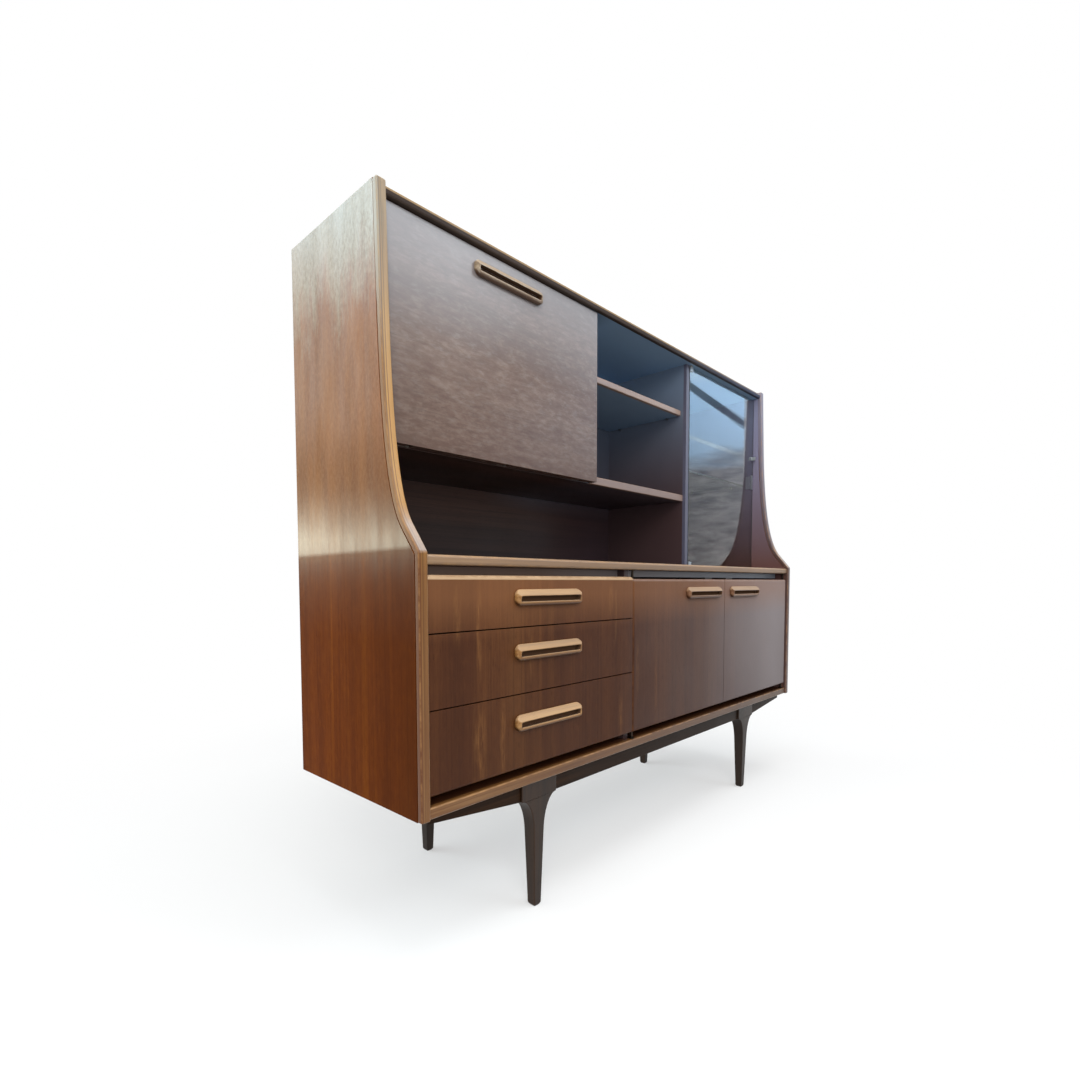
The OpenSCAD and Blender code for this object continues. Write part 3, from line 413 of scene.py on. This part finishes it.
def flap_zones(t, base):
    """Paler and bluish towards its upper edge in a painted reflection, darker towards its
    lower edge, with painted shade along its left edge, and rusty and pale spots in the old
    polish.
    """
    x, z = t.xyz("XZ")
    mottle = t.noise(t.coords((6, 1, 4), (0.35, 1.0, 1.0)), 90.0, 6.0, 0.72, 0.3)
    base = t.mix(t.ramp(mottle, [(0.46, 0.0), (0.64, 0.50)]), base, srgb(84, 52, 40))
    base = t.mix(t.ramp(mottle, [(0.34, 0.24), (0.48, 0.0)]), base, srgb(150, 138, 132))
    base = t.mix(t.mul(t.rise(z, 1.14, 0.96), 0.30), base, srgb(70, 44, 30))
    # painted shade along the left edge, beside the side's strip
    base = t.mix(t.mul(t.rise(x, -0.66, -0.80), 0.30), base, srgb(78, 56, 44))
    # painted reflection of the sky, pale towards the upper edge
    base = t.mix(t.mul(t.rise(z, 1.15, 1.37), 0.50), base, srgb(174, 177, 184))
    inside = t.mul(t.rise(t.normal(Y), 0.2, 0.6), 0.9)
    return t.mix(inside, base, (0.72, 0.52, 0.40), "MULTIPLY")


def inner_zones(t, base):
    """The boards of the upper bays get a painted reflection of the bluish sky, lighter on the
    faces that look up.
    """
    x, z = t.xyz("XZ")
    # painted reflection of the bluish sky, lighter on faces that look up
    sky_reflection = t.mul(t.rise(z, 0.90, 1.30), t.rise(x, -0.30, -0.10), 0.90)
    base = t.mix(sky_reflection, base, t.mix(outer(t, Z), srgb(153, 188, 222), srgb(84, 76, 90)))
    niche = t.mul(t.rise(z, FLOOR_HIGH_Z, FLOOR_LOW_Z), t.rise(x, -0.2, 0.2), 0.6)
    return t.mix(niche, base, srgb(70, 58, 66))


def top_zones(t, base):
    """Plain teak on top and behind, the bays' tone with its painted reflection below."""
    teak = t.mix(1.0, base, (3.0, 2.5, 1.5), "MULTIPLY")
    return t.mix(t.most(outer(t, Z), outer(t, Y)), inner_zones(t, base), teak)


def low_bay(t):
    """1 between the upper floor and the middle shelf."""
    (z,) = t.xyz("Z")
    return t.mul(t.rise(z, FLOOR_LOW_Z, FLOOR_HIGH_Z),
                 t.rise(z, SHELF_HIGH_Z, SHELF_LOW_Z))


def back_zones(t, base):
    """Plain veneer behind, the bays' tone with its painted reflection in front, darker in the
    lower bay in painted shade.
    """
    plain = t.mix(1.0, base, (2.4, 2.1, 1.5), "MULTIPLY")
    # painted shade in the lower bay
    front = t.mix(t.mul(low_bay(t), 0.72), inner_zones(t, base), srgb(68, 56, 62))
    return t.mix(outer(t, Y), front, plain)


def back_matt(t):
    """Dull behind and in the lower bay."""
    return t.most(outer(t, Y), low_bay(t))


def back_gloss(t):
    """A faint polish where it isn't dull."""
    return t.mul(t.minus(1.0, back_matt(t)), 0.08)


def divider_zones(t, base):
    """Like the boards beside it, a little warmer."""
    (z,) = t.xyz("Z")
    warm = t.add(t.mul(t.rise(z, 1.30, 1.00), 0.22), 0.60)
    return t.mix(warm, inner_zones(t, base), srgb(72, 55, 56))


def handle_zones(middle_z):
    """A handle's wood, with a painted highlight on faces that look up, and painted shade
    below its finger slot and on faces that look down.
    """
    def zones(t, base):
        (z,) = t.xyz("Z")
        # painted highlight on the faces that look up
        top_highlight = t.rise(t.normal(Z), 0.05, 0.5)
        base = t.mix(t.mul(top_highlight, 0.30), base, srgb(216, 186, 148))
        # painted shade below the finger slot and on the underside
        low = t.rise(z, middle_z - 0.006, middle_z - 0.013)
        base = t.mix(t.mul(low, 0.50), base, srgb(84, 50, 28))
        return t.mix(t.mul(under(t, 0.10, 0.50), 0.6), base, srgb(66, 38, 20))
    return zones


def top_strip_zones(t, base):
    """A painted highlight along the upper edge, painted shade on the underside, and a painted
    haze of light towards the right.
    """
    x, z = t.xyz("XZ")
    edge_highlight = t.rise(z, *TOP_STRIP_HIGHLIGHT_Z)
    base = t.mix(edge_highlight, base, srgb(150, 124, 90))
    base = t.mix(under(t, 0.3, 0.6), base, srgb(66, 55, 48))
    # painted haze of light towards the right, bluish
    haze = t.mul(t.rise(x, 0.15, 0.84), 0.62)
    return t.mix(haze, base, t.mix(edge_highlight, srgb(62, 76, 106), srgb(128, 132, 146)))


def side_strip_zones(t, base):
    """Golden on the left side, darker towards the floor in painted shade and paler towards
    the top in a painted reflection; toned down to the veneer on the right one and outside.
    """
    x, z = t.xyz("XZ")
    left = t.below(x, 0.0)
    core = t.mul(left, t.rise(z, 0.70, 0.82), t.rise(z, 1.30, 1.15))
    base = t.mix(t.mul(core, 0.62), base, srgb(196, 146, 72))
    seam = t.rise(t.away(x, STRIP_SEAM_X), 0.0012, 0.0004)
    base = t.mix(t.mul(seam, 0.70), base, srgb(78, 46, 20))
    # painted shade, darker towards the floor; then a painted reflection, paler and greyer
    # towards the top
    base = t.mix(t.mul(t.rise(z, 1.00, 0.40), 0.62), base, srgb(92, 50, 6))
    base = t.mix(t.mul(t.rise(z, 1.00, 1.34), 0.55), base, srgb(138, 132, 112))
    # painted glare: the sweep at its foot faces the sky
    sweep_glare = t.mul(t.rise(t.normal(Z), 0.35, 0.75), t.below(z, 1.0))
    base = t.mix(t.mul(sweep_glare, 0.60), base, srgb(170, 172, 176))
    # outside it has the tone of the side that it edges, with its painted sheen, and so has
    # the right strip, with the right side's painted reflection
    flank = t.most(t.rise(t.absolute(t.normal(X)), 0.80, 0.92),
                   t.rise(x, STRIP_CORNER_X + 0.001, STRIP_CORNER_X))
    right = t.mul(t.above(x, 0.0), t.rise(t.normal(X), 0.85, 0.5), t.minus(1.0, outer(t, Z)))
    outside = t.mix(t.rise(z, 0.735, 0.80), srgb(92, 50, 20), srgb(126, 92, 62))
    outside = t.mix(t.mul(t.rise(z, 1.08, 1.30), left), outside, srgb(164, 158, 144))
    tone = t.mix(right, outside, t.mix(t.rise(z, 0.75, 1.30), srgb(84, 64, 62),
                                       srgb(132, 130, 150)))
    base = t.mix(t.most(t.mul(right, 0.88), t.mul(flank, 0.9)), base, tone)
    corner = t.rise(t.away(x, STRIP_CORNER_X), 0.0014, 0.0006)
    corner = t.mul(corner, t.rise(z, 0.90, 1.05), 0.60)
    return t.mix(corner, base, srgb(86, 60, 36))


def shelf_strip_zones(t, base):
    """The lower strips are duller, the strip on the glass divider is dark."""
    x, z = t.xyz("XZ")
    base = t.mix(0.60, base, srgb(174, 158, 154))
    base = t.mix(t.mul(t.below(z, 1.0), 0.40), base, srgb(104, 84, 82))
    return t.mix(t.mul(t.above(x, GLASS_STRIP_X), 0.9), base, srgb(80, 84, 106))


def deck_strip_zones(t, base):
    """The worktop's edge is paler and greyer with a painted sheen, the bottom's edge darker
    towards the right.
    """
    x, z = t.xyz("XZ")
    worktop, bottom = t.above(z, 0.6), t.below(z, 0.4)
    # painted sheen: the worktop's edge paler and greyer
    base = t.mix(t.mul(worktop, 0.60), base, srgb(138, 118, 100))
    base = t.mix(t.mul(bottom, 0.55), base, srgb(92, 50, 10))
    return t.mix(t.mul(bottom, t.rise(x, -1.1, 0.5), 0.65), base, srgb(66, 50, 42))


def rail_zones(t, base):
    """The rail in the shadow gap catches the window's light towards the right."""
    x, z = t.xyz("XZ")
    gap = t.mul(t.above(z, RAIL_LOW_Z), t.below(z, RAIL_HIGH_Z))
    return t.mix(t.mul(gap, 0.75), base, t.mix(t.rise(x, -0.5, 0.6), srgb(118, 92, 78),
                                               srgb(178, 190, 206)))


# ---------------------------------------------------------------- metal, plastic, glass
def metal(name, tone, rough):
    """Brushed metal with dull spots."""
    t = Material(name)
    place = own_place(name)
    spots = t.ramp(t.noise(t.coords(place), 160.0, 5.0, 0.6), [(0.5, 0.0), (0.66, 1.0)])
    cloud = t.noise(t.coords(place), 45.0, 3.0, 0.5)
    brushed = t.noise(t.coords(place, (60.0, 2600.0, 2600.0)), 1.0, 2.0, 0.5)
    t.shade("Base Color", t.mix(t.mul(spots, 0.25), tone, scaled(tone, 0.45)))
    t.shade("Metallic", 1.0)
    t.shade("Roughness", t.ramp(cloud, [(0.3, rough), (0.7, rough + 0.16)]))
    t.shade("Normal", t.bump(brushed, 0.15, 0.0001))
    return t.mat


def plastic(name, tone, pale_tone):
    """Grained plastic. The glass door's own plate, up on the right, is pale."""
    t = Material(name)
    x, z = t.xyz("XZ")
    grain = t.noise(t.coords((3, 1, 2)), 900.0, 2.0, 0.5)
    cloud = t.noise(t.coords((1, 5, 2)), 40.0, 4.0, 0.5)
    own = t.mul(t.above(x, 0.70), t.above(z, 0.80))
    t.shade("Base Color", t.mix(own, t.mix(cloud, tone, scaled(tone, 1.5)), pale_tone))
    t.shade("Roughness", t.ramp(cloud, [(0.3, 0.42), (0.7, 0.58)]))
    t.shade("Normal", t.bump(grain, 0.2, 0.0002))
    return t.mat


def glass(name, tint, smear=0.5):
    """Clear glass with a faint film and dark ground edges."""
    t = Material(name)
    place = (2.0, 7.0, 1.0)
    film = t.noise(t.coords(place), 5.0, 6.0, 0.65)
    wave = t.noise(t.coords(place), 3.0, 1.0, 0.5)
    edge = t.rise(t.absolute(t.normal(X)), 0.3, 0.8)
    t.shade("Base Color", t.mix(edge, t.mix(film, tint, scaled(tint, 1.03)),
                                (0.035, 0.045, 0.042)))
    t.shade("Transmission Weight", t.minus(1.0, edge))
    t.shade("IOR", 1.5)
    smooth = t.ramp(film, [(0.45, 0.0), (0.8, 0.035 * smear)])
    t.shade("Roughness", t.most(smooth, t.mul(edge, 0.8)))
    t.shade("Normal", t.bump(wave, 0.04, 0.002))
    return t.mat


# ---------------------------------------------------------------- the materials
def tones(dark, mid, light):
    """The three tones of a wood's figure."""
    return dict(dark=srgb(*dark), mid=srgb(*mid), light=srgb(*light))


SIDE = tones((72, 28, 2), (108, 52, 8), (140, 76, 14))
FRONT = tones((56, 28, 14), (76, 42, 22), (104, 64, 34))
FLAP = tones((80, 58, 46), (112, 88, 74), (134, 112, 98))
EDGE = tones((104, 66, 32), (140, 97, 52), (172, 130, 80))
# the top strip's front, dark in painted shade
TOP_EDGE_SHADED = tones((36, 24, 18), (52, 37, 28), (74, 55, 42))
DARK = tones((24, 14, 7), (38, 23, 12), (54, 34, 18))
INNER = tones((38, 23, 20), (56, 36, 31), (76, 51, 43))
BOX = tones((136, 104, 68), (170, 136, 94), (196, 164, 120))
REDDER = tones((84, 52, 32), (116, 78, 52), (146, 108, 78))
# the flap's handle: paler tones, and a near-white edge tone that is a painted highlight on
# its edges
PALER = dict(tones((84, 66, 48), (126, 104, 80), (168, 150, 126)),
             wear_and_glint=0.85, wear_and_glint_tone=srgb(214, 208, 196))
HANDLE_TONES = {"left_door": REDDER, "right_door": REDDER, "flap": PALER}
STRIP = dict(bands=30.0, spread=(0.38, 0.5, 0.62), pores=0.3, lines=0.45, rough=(0.34, 0.46),
             spec=0.35, coat=0.15)
BAY_ROUGH = (0.36, 0.46)
FLAP_SLOT = [HANDLES["flap"]]
LOW_SLOTS = [place for key, place in HANDLES.items() if key != "flap"]

mats = {
    "side": wood("teak_side", Z, **SIDE, bands=9.0, gold=0.40, gold_tone=srgb(140, 82, 24),
                 lines=0.20, spread=(0.30, 0.50, 0.70), fleck=0.20, spec=0.03,
                 rough=(0.42, 0.52), coat_rough=0.15, zones=side_zones, gloss=side_gloss,
                 crackle=1.2),
    "front": wood("teak_front", Z, **FRONT, bands=10.0, gold=0.42,
                  gold_tone=srgb(120, 78, 42), spread=(0.28, 0.50, 0.72), lines=0.28,
                  fleck=0.16, spec=0.14, rough=(0.40, 0.52), zones=front_zones,
                  slots=LOW_SLOTS),
    "flap": wood("teak_flap", X, **FLAP, bands=6.0, spread=(0.30, 0.50, 0.70), fleck=0.42,
                 lines=0.20, pores=0.30, spec=0.30, rough=(0.36, 0.46), coat=0.5,
                 coat_rough=0.22, crackle=0.8, zones=flap_zones, slots=FLAP_SLOT),
    "top": wood("teak_top", X, **INNER, spec=0.2, wear_and_glint=0.1, zones=top_zones),
    "deck": wood("teak_deck", X, **FRONT, spec=0.3, coat=0.2),
    "divider": wood("teak_divider", Z, **INNER, bands=9.0, spec=0.5, rough=(0.34, 0.44),
                    wear_and_glint=0.08, zones=divider_zones),
    "shelf": wood("teak_shelf", X, **INNER, bands=9.0, spec=0.4, rough=BAY_ROUGH, wear_and_glint=0.08,
                  zones=inner_zones),
    "rail": wood("teak_rail", X, **INNER, bands=9.0, spec=0.4, rough=BAY_ROUGH,
                 zones=rail_zones),
    "back": wood("veneer_back", X, **INNER, bands=7.0, spec=0.30, rough=(0.34, 0.44),
                 gloss=back_gloss, matt=back_matt, wear_and_glint=0.0, zones=back_zones),
    "edge_x": wood("edge_x", X, **EDGE, **STRIP, zones=deck_strip_zones),
    "edge_top": wood("edge_top", X, **TOP_EDGE_SHADED, bands=30.0, spec=0.12, wear_and_glint=0.0,
                     zones=top_strip_zones),
    "edge_shelf": wood("edge_shelf", X, **EDGE, **STRIP, zones=shelf_strip_zones),
    "edge_z": wood("edge_z", Z, **EDGE, **STRIP, zones=side_strip_zones, edge=X),
    "frame_x": wood("frame_x", X, **DARK, bands=14.0, spec=0.08),
    "frame_y": wood("frame_y", Y, **DARK, bands=14.0, spec=0.3),
    "frame_z": wood("frame_z", Z, **DARK, bands=14.0, spec=0.3, edge=Y),
    "box_x": wood("box_x", X, **BOX, bands=16.0, rough=(0.5, 0.62), pores=0.25),
    "box_y": wood("box_y", Y, **BOX, bands=16.0, rough=(0.5, 0.62), pores=0.25),
    "steel": metal("satin_steel", srgb(150, 148, 144), 0.30),
    "bronze": metal("dark_bronze", srgb(62, 52, 44), 0.42),
    "brass": metal("dull_nickel", srgb(150, 146, 138), 0.36),
    "fitting": metal("bright_nickel", srgb(196, 202, 206), 0.34),
    "catch": plastic("catch_plastic", srgb(40, 32, 27), srgb(150, 150, 160)),
    "glass": glass("clear_glass", (0.93, 0.97, 0.96)),
    "glass_edge": glass("shelf_glass", (0.80, 0.92, 0.89), 0.3),
}

# ---------------------------------------------------------------- the CAD solids
PIECES = {  # by material: the width of the softened edges, and the nodes
    "side": (0.0012, ["side_left", "side_right"]),
    "top": (0.001, ["top_panel"]),
    "deck": (0.0008, ["worktop", "bottom_panel"]),
    "divider": (0.0008, ["flap_divider", "glass_divider", "drawer_divider"]),
    "shelf": (0.0008, ["upper_floor", "middle_shelf", "cabinet_shelf", "cupboard_shelf"]),
    "rail": (0.001, ["recess_rail"]),
    "back": (None, ["upper_back", "lower_back"]),
    "edge_z": (0.0030, ["side_lippings"]),
    "edge_x": (0.0012, ["worktop_lipping", "bottom_lipping"]),
    "edge_top": (0.0012, ["top_lipping"]),
    "edge_shelf": (0.0010, ["shelf_lippings"]),
    "frame_x": (0.0008, ["front_apron", "rear_apron"]),
    "frame_y": (0.002, ["cross_rails"]),
    "frame_z": (0.0022, ["leg_front_left", "leg_front_right", "leg_rear_left",
                         "leg_rear_right"]),
    "flap": (0.0012, ["flap_panel"]),
    "front": (0.0012, ["drawer_1_front", "drawer_2_front", "drawer_3_front",
                       "left_door_panel", "right_door_panel"]),
    "box_y": (0.001, ["drawer_1_box", "drawer_2_box", "drawer_3_box", "drawer_runners"]),
    "box_x": (0.0004, ["drawer_1_bottom", "drawer_2_bottom", "drawer_3_bottom"]),
    "steel": (0.0003, ["shelf_pins", "frame_screws", "stay_plate", "stay_foot", "stay_rod",
                       "stay_block"]),
    "bronze": (0.0003, ["door_pivots"]),
    "brass": (0.0004, ["flap_hinge_brackets", "flap_hinge_pins", "glass_pivots"]),
    "fitting": (0.0004, ["glass_fittings"]),
    "catch": (0.0012, ["catches"]),
    "glass": (0.0006, ["glass_pane"]),
    "glass_edge": (0.0008, ["glass_shelf"]),
}
WELD_GAP = 0.00002
WIDE_EDGE = 0.001  # softened edges wider than this get a third segment
SHARP_ANGLE = math.radians(32)
HANDLE_VOXEL, HANDLE_ROUNDS = 0.0011, 18


def paint(ob, mat):
    ob.data.materials.clear()
    ob.data.materials.append(mat)


def soften(ob, width):
    """Round the solid's sharp edges off."""
    ob.modifiers.new("Weld", "WELD").merge_threshold = WELD_GAP
    bevel = ob.modifiers.new("Bevel", "BEVEL")
    bevel.width = width
    bevel.segments = 3 if width > WIDE_EDGE else 2
    bevel.limit_method = "ANGLE"
    bevel.angle_limit = SHARP_ANGLE
    bevel.use_clamp_overlap = True
    bevel.harden_normals = False
    ob.data.polygons.foreach_set("use_smooth", [True] * len(ob.data.polygons))
    ob.modifiers.new("Normals", "WEIGHTED_NORMAL").keep_sharp = True


def round_by_hand(ob):
    """Give a handle the form of one that is rounded by hand."""
    grid = ob.modifiers.new("Fine", "REMESH")
    grid.mode = "VOXEL"
    grid.voxel_size = HANDLE_VOXEL
    grid.use_smooth_shade = True
    rounding = ob.modifiers.new("Round", "SMOOTH")
    rounding.factor = 0.5
    rounding.iterations = HANDLE_ROUNDS


for key, (width, members) in PIECES.items():
    for member in members:
        paint(nodes[member], mats[key])
        if width:
            soften(nodes[member], width)
for key, place in HANDLES.items():
    handle = nodes[key + "_handle"]
    paint(handle, wood("handle_" + key, X, **HANDLE_TONES.get(key, EDGE), **STRIP,
                       zones=handle_zones(place[1]), slots=[place], edge="dense"))
    round_by_hand(handle)

# ---------------------------------------------------------------- studio
CAMERA_AT = Vector((-1.4267021, -0.9956173, 0.6828069))
CAMERA_RIGHT = Vector((0.71120149, -0.7029684, -0.00527901))
CAMERA_UP = Vector((0.03979687, 0.03276335, 0.9986705))
CAMERA_AHEAD = Vector((0.70186085, 0.71046603, -0.05127729))
CAMERA_FOOT = Vector((-1.43, -0.99, 0))  # on the floor below it
FLOOR_HALF_WIDTH = 12.0
FLOOR_NEAR, FLOOR_FAR = 3.5, 3.2  # behind the camera, and beyond the object
WALL_BEND, WALL_HEIGHT, BEND_STEPS = 1.8, 9.0, 16


def stage_paint(name):
    """White paper: pale to the camera, reflections and glass, mid grey to bounced light."""
    mat = bpy.data.materials.new(name)
    mat.use_nodes = True
    t = Nodes(mat.node_tree)
    path = t.node("ShaderNodeLightPath")
    seen = t.most(*[path.outputs["Is %s Ray" % kind]
                    for kind in ("Camera", "Glossy", "Transmission")])
    grain = t.noise(t.coords(), 2.0, 3.0, 0.5)
    paper = t.node("ShaderNodeBsdfDiffuse",
                   t.mix(grain, (0.84, 0.84, 0.84), (0.86, 0.86, 0.86)))
    dim = t.node("ShaderNodeBsdfDiffuse",
                 t.mix(grain, (0.17, 0.16, 0.15), (0.19, 0.18, 0.17)))
    white = t.node("ShaderNodeEmission")
    white.inputs["Strength"].default_value = 1.0
    # the paper turns to plain white away from the object
    distance = t.node("ShaderNodeVectorMath", t.coordinate("Object"), operation="LENGTH")
    far = t.ramp(t.mul(distance.outputs["Value"], 0.25), [(0.20, 0.42), (0.52, 1.0)], "EASE")
    shown = t.node("ShaderNodeMixShader", far, paper.outputs[0], white.outputs[0])
    both = t.node("ShaderNodeMixShader", seen, dim.outputs[0], shown.outputs[0])
    t.node("ShaderNodeOutputMaterial", both.outputs[0])
    return mat


def backdrop(name, rows, sideways, half, mat):
    """A sheet of paper through these points, as wide as half to each side."""
    mesh = bpy.data.meshes.new(name)
    points = [row + sideways * (side * half) for row in rows for side in (-1, 1)]
    faces = [(2 * i, 2 * i + 1, 2 * i + 3, 2 * i + 2) for i in range(len(rows) - 1)]
    mesh.from_pydata(points, [], faces)
    mesh.polygons.foreach_set("use_smooth", [True] * len(mesh.polygons))
    mesh.materials.append(mat)
    ob = bpy.data.objects.new(name, mesh)
    scene.collection.objects.link(ob)


ahead = Vector((CAMERA_AHEAD.x, CAMERA_AHEAD.y, 0)).normalized()
bend_start = ahead * FLOOR_FAR
rows = [CAMERA_FOOT - ahead * FLOOR_NEAR, bend_start]
for i in range(1, BEND_STEPS + 1):
    turn = math.radians(90 * i / BEND_STEPS)
    rows.append(bend_start + ahead * (WALL_BEND * math.sin(turn))
                + Vector((0, 0, WALL_BEND * (1 - math.cos(turn)))))
rows.append(rows[-1] + Vector((0, 0, WALL_HEIGHT)))
backdrop("studio_floor", rows, Vector((ahead.y, -ahead.x, 0)), FLOOR_HALF_WIDTH,
         stage_paint("studio_floor"))

# The room: soft grey, with a tall bluish window wall to the right of the fronts
world = bpy.data.worlds.new("studio")
scene.world = world
world.use_nodes = True
w = Nodes(world.node_tree)
direction = w.coordinate("Generated")
height = w.split(direction)[Z]


def towards(normal):
    """How far a direction goes along this one."""
    return w.node("ShaderNodeVectorMath", direction, normal,
                  operation="DOT_PRODUCT").outputs["Value"]


def facing(x, y, low, high):
    """1 around the direction x, y, fading between the two limits."""
    return w.ramp(towards((x, y, 0.0)), [(low, 0.0), (high, 1.0)], "EASE")


def bar(normal, half):
    """A straight bar of the window, along the plane with this normal."""
    return w.rise(w.absolute(towards(normal)), half * 1.3, half)


# hills and haze low in the right window, with an uneven upper edge
flat = w.coords(scale=(1.0, 1.0, 4.0), kind="Generated")
ridge = w.noise(flat, 3.0, 5.0, 0.6)
scrub = w.noise(flat, 26.0, 6.0, 0.7)
level = w.add(height, w.mul(w.minus(ridge, 0.5), 0.10))
land = w.mix(w.ramp(scrub, [(0.36, 0.0), (0.64, 1.0)]), (0.29, 0.31, 0.34),
             (0.78, 0.79, 0.80))
air = w.ramp(height, [(0.18, (0.98, 1.45, 1.95)), (0.30, (1.43, 2.15, 3.05)),
                      (0.33, (2.50, 3.20, 3.90))])
air = w.mix(bar((0.0853, 0.6659, 0.7411), 0.0042), air, (0.17, 0.22, 0.29))
air = w.mix(bar((0.0072, 0.4634, 0.8861), 0.0022), air, (1.6, 2.1, 2.5))
window = w.mix(w.ramp(level, [(0.180, 0.0), (0.200, 1.0)]), land, air)
room = w.ramp(height, [(0.0, (0.45, 0.42, 0.38)), (0.22, (0.45, 0.42, 0.39)),
                       (0.46, (1.20, 1.28, 1.36)), (0.75, WHITE)])
# what the left side mirrors: a bright band low down, and a pale wall above
left = w.ramp(height, [(0.0, (1.5, 1.3, 1.0)), (0.03, (3.0, 2.7, 2.1)),
                       (0.065, (7.6, 7.9, 6.4)), (0.10, (3.4, 3.3, 2.6)),
                       (0.14, (1.2, 0.95, 0.70)), (0.17, (0.8, 0.6, 0.42)),
                       (0.21, (1.1, 0.85, 0.65)), (0.27, (1.8, 1.6, 1.4)),
                       (0.36, (1.7, 1.6, 1.45)), (0.40, (1.9, 1.8, 1.7)),
                       (0.45, (2.5, 2.6, 2.7)), (0.51, (3.8, 4.8, 5.2))])
room = w.mix(facing(-0.52, 0.854, 0.60, 0.80), room, left)
room = w.mix(facing(0.88, -0.475, 0.90, 0.965), room, window)
camera_ray = w.node("ShaderNodeLightPath").outputs["Is Camera Ray"]
background = w.node("ShaderNodeBackground", w.mix(camera_ray, room, WHITE), 1.0)
w.node("ShaderNodeOutputWorld", background.outputs[0])


def area(name, where, aim, size, power, tone=WHITE, mirrored=True):
    """A rectangular lamp, which glossy surfaces show only where mirrored is set."""
    light = bpy.data.lights.new(name, "AREA")
    light.shape = "RECTANGLE"
    light.size, light.size_y = size
    light.energy = power
    light.color = tone
    ob = bpy.data.objects.new(name, light)
    scene.collection.objects.link(ob)
    ob.visible_glossy = mirrored
    ob.location = where
    ob.rotation_mode = "QUATERNION"
    ob.rotation_quaternion = (Vector(aim) - Vector(where)).to_track_quat("-Z", "Y")


area("window", (1.3, -3.0, 3.2), (-0.4, -0.1, 1.1), (1.8, 1.2), 26, (0.80, 0.92, 1.0))
area("front_left", (-3.0, -2.6, 2.6), (-0.2, -0.1, 0.9), (1.8, 1.8), 58, (1.0, 0.94, 0.86),
     False)
area("fill", (-1.9, -2.1, 0.95), (0.1, 0.1, 1.1), (1.2, 1.0), 17, (0.88, 0.95, 1.0), False)
area("top", (0, -0.6, 3.6), (0, 0, 0), (3.0, 1.6), 44)

# ---------------------------------------------------------------- camera
# fitted to the photograph: focal length, middle and size of the picture in pixels
FOCAL_PX, CENTRE_X, CENTRE_Y, SIZE = 586.994, 500.0, 614.678, 1080.0
SENSOR_MM = 36.0
cam_data = bpy.data.cameras.new("camera")
cam_data.sensor_width = SENSOR_MM
cam_data.sensor_fit = "HORIZONTAL"
cam_data.lens = FOCAL_PX / SIZE * SENSOR_MM
cam_data.shift_x = (SIZE / 2 - CENTRE_X) / SIZE
cam_data.shift_y = (CENTRE_Y - SIZE / 2) / SIZE
cam_data.clip_start, cam_data.clip_end = 0.05, 60
cam = bpy.data.objects.new("camera", cam_data)
scene.collection.objects.link(cam)
scene.camera = cam
pose = Matrix((CAMERA_RIGHT, CAMERA_UP, -CAMERA_AHEAD)).transposed().to_4x4()
pose.translation = CAMERA_AT
cam.matrix_world = pose

scene.view_settings.view_transform = "Standard"
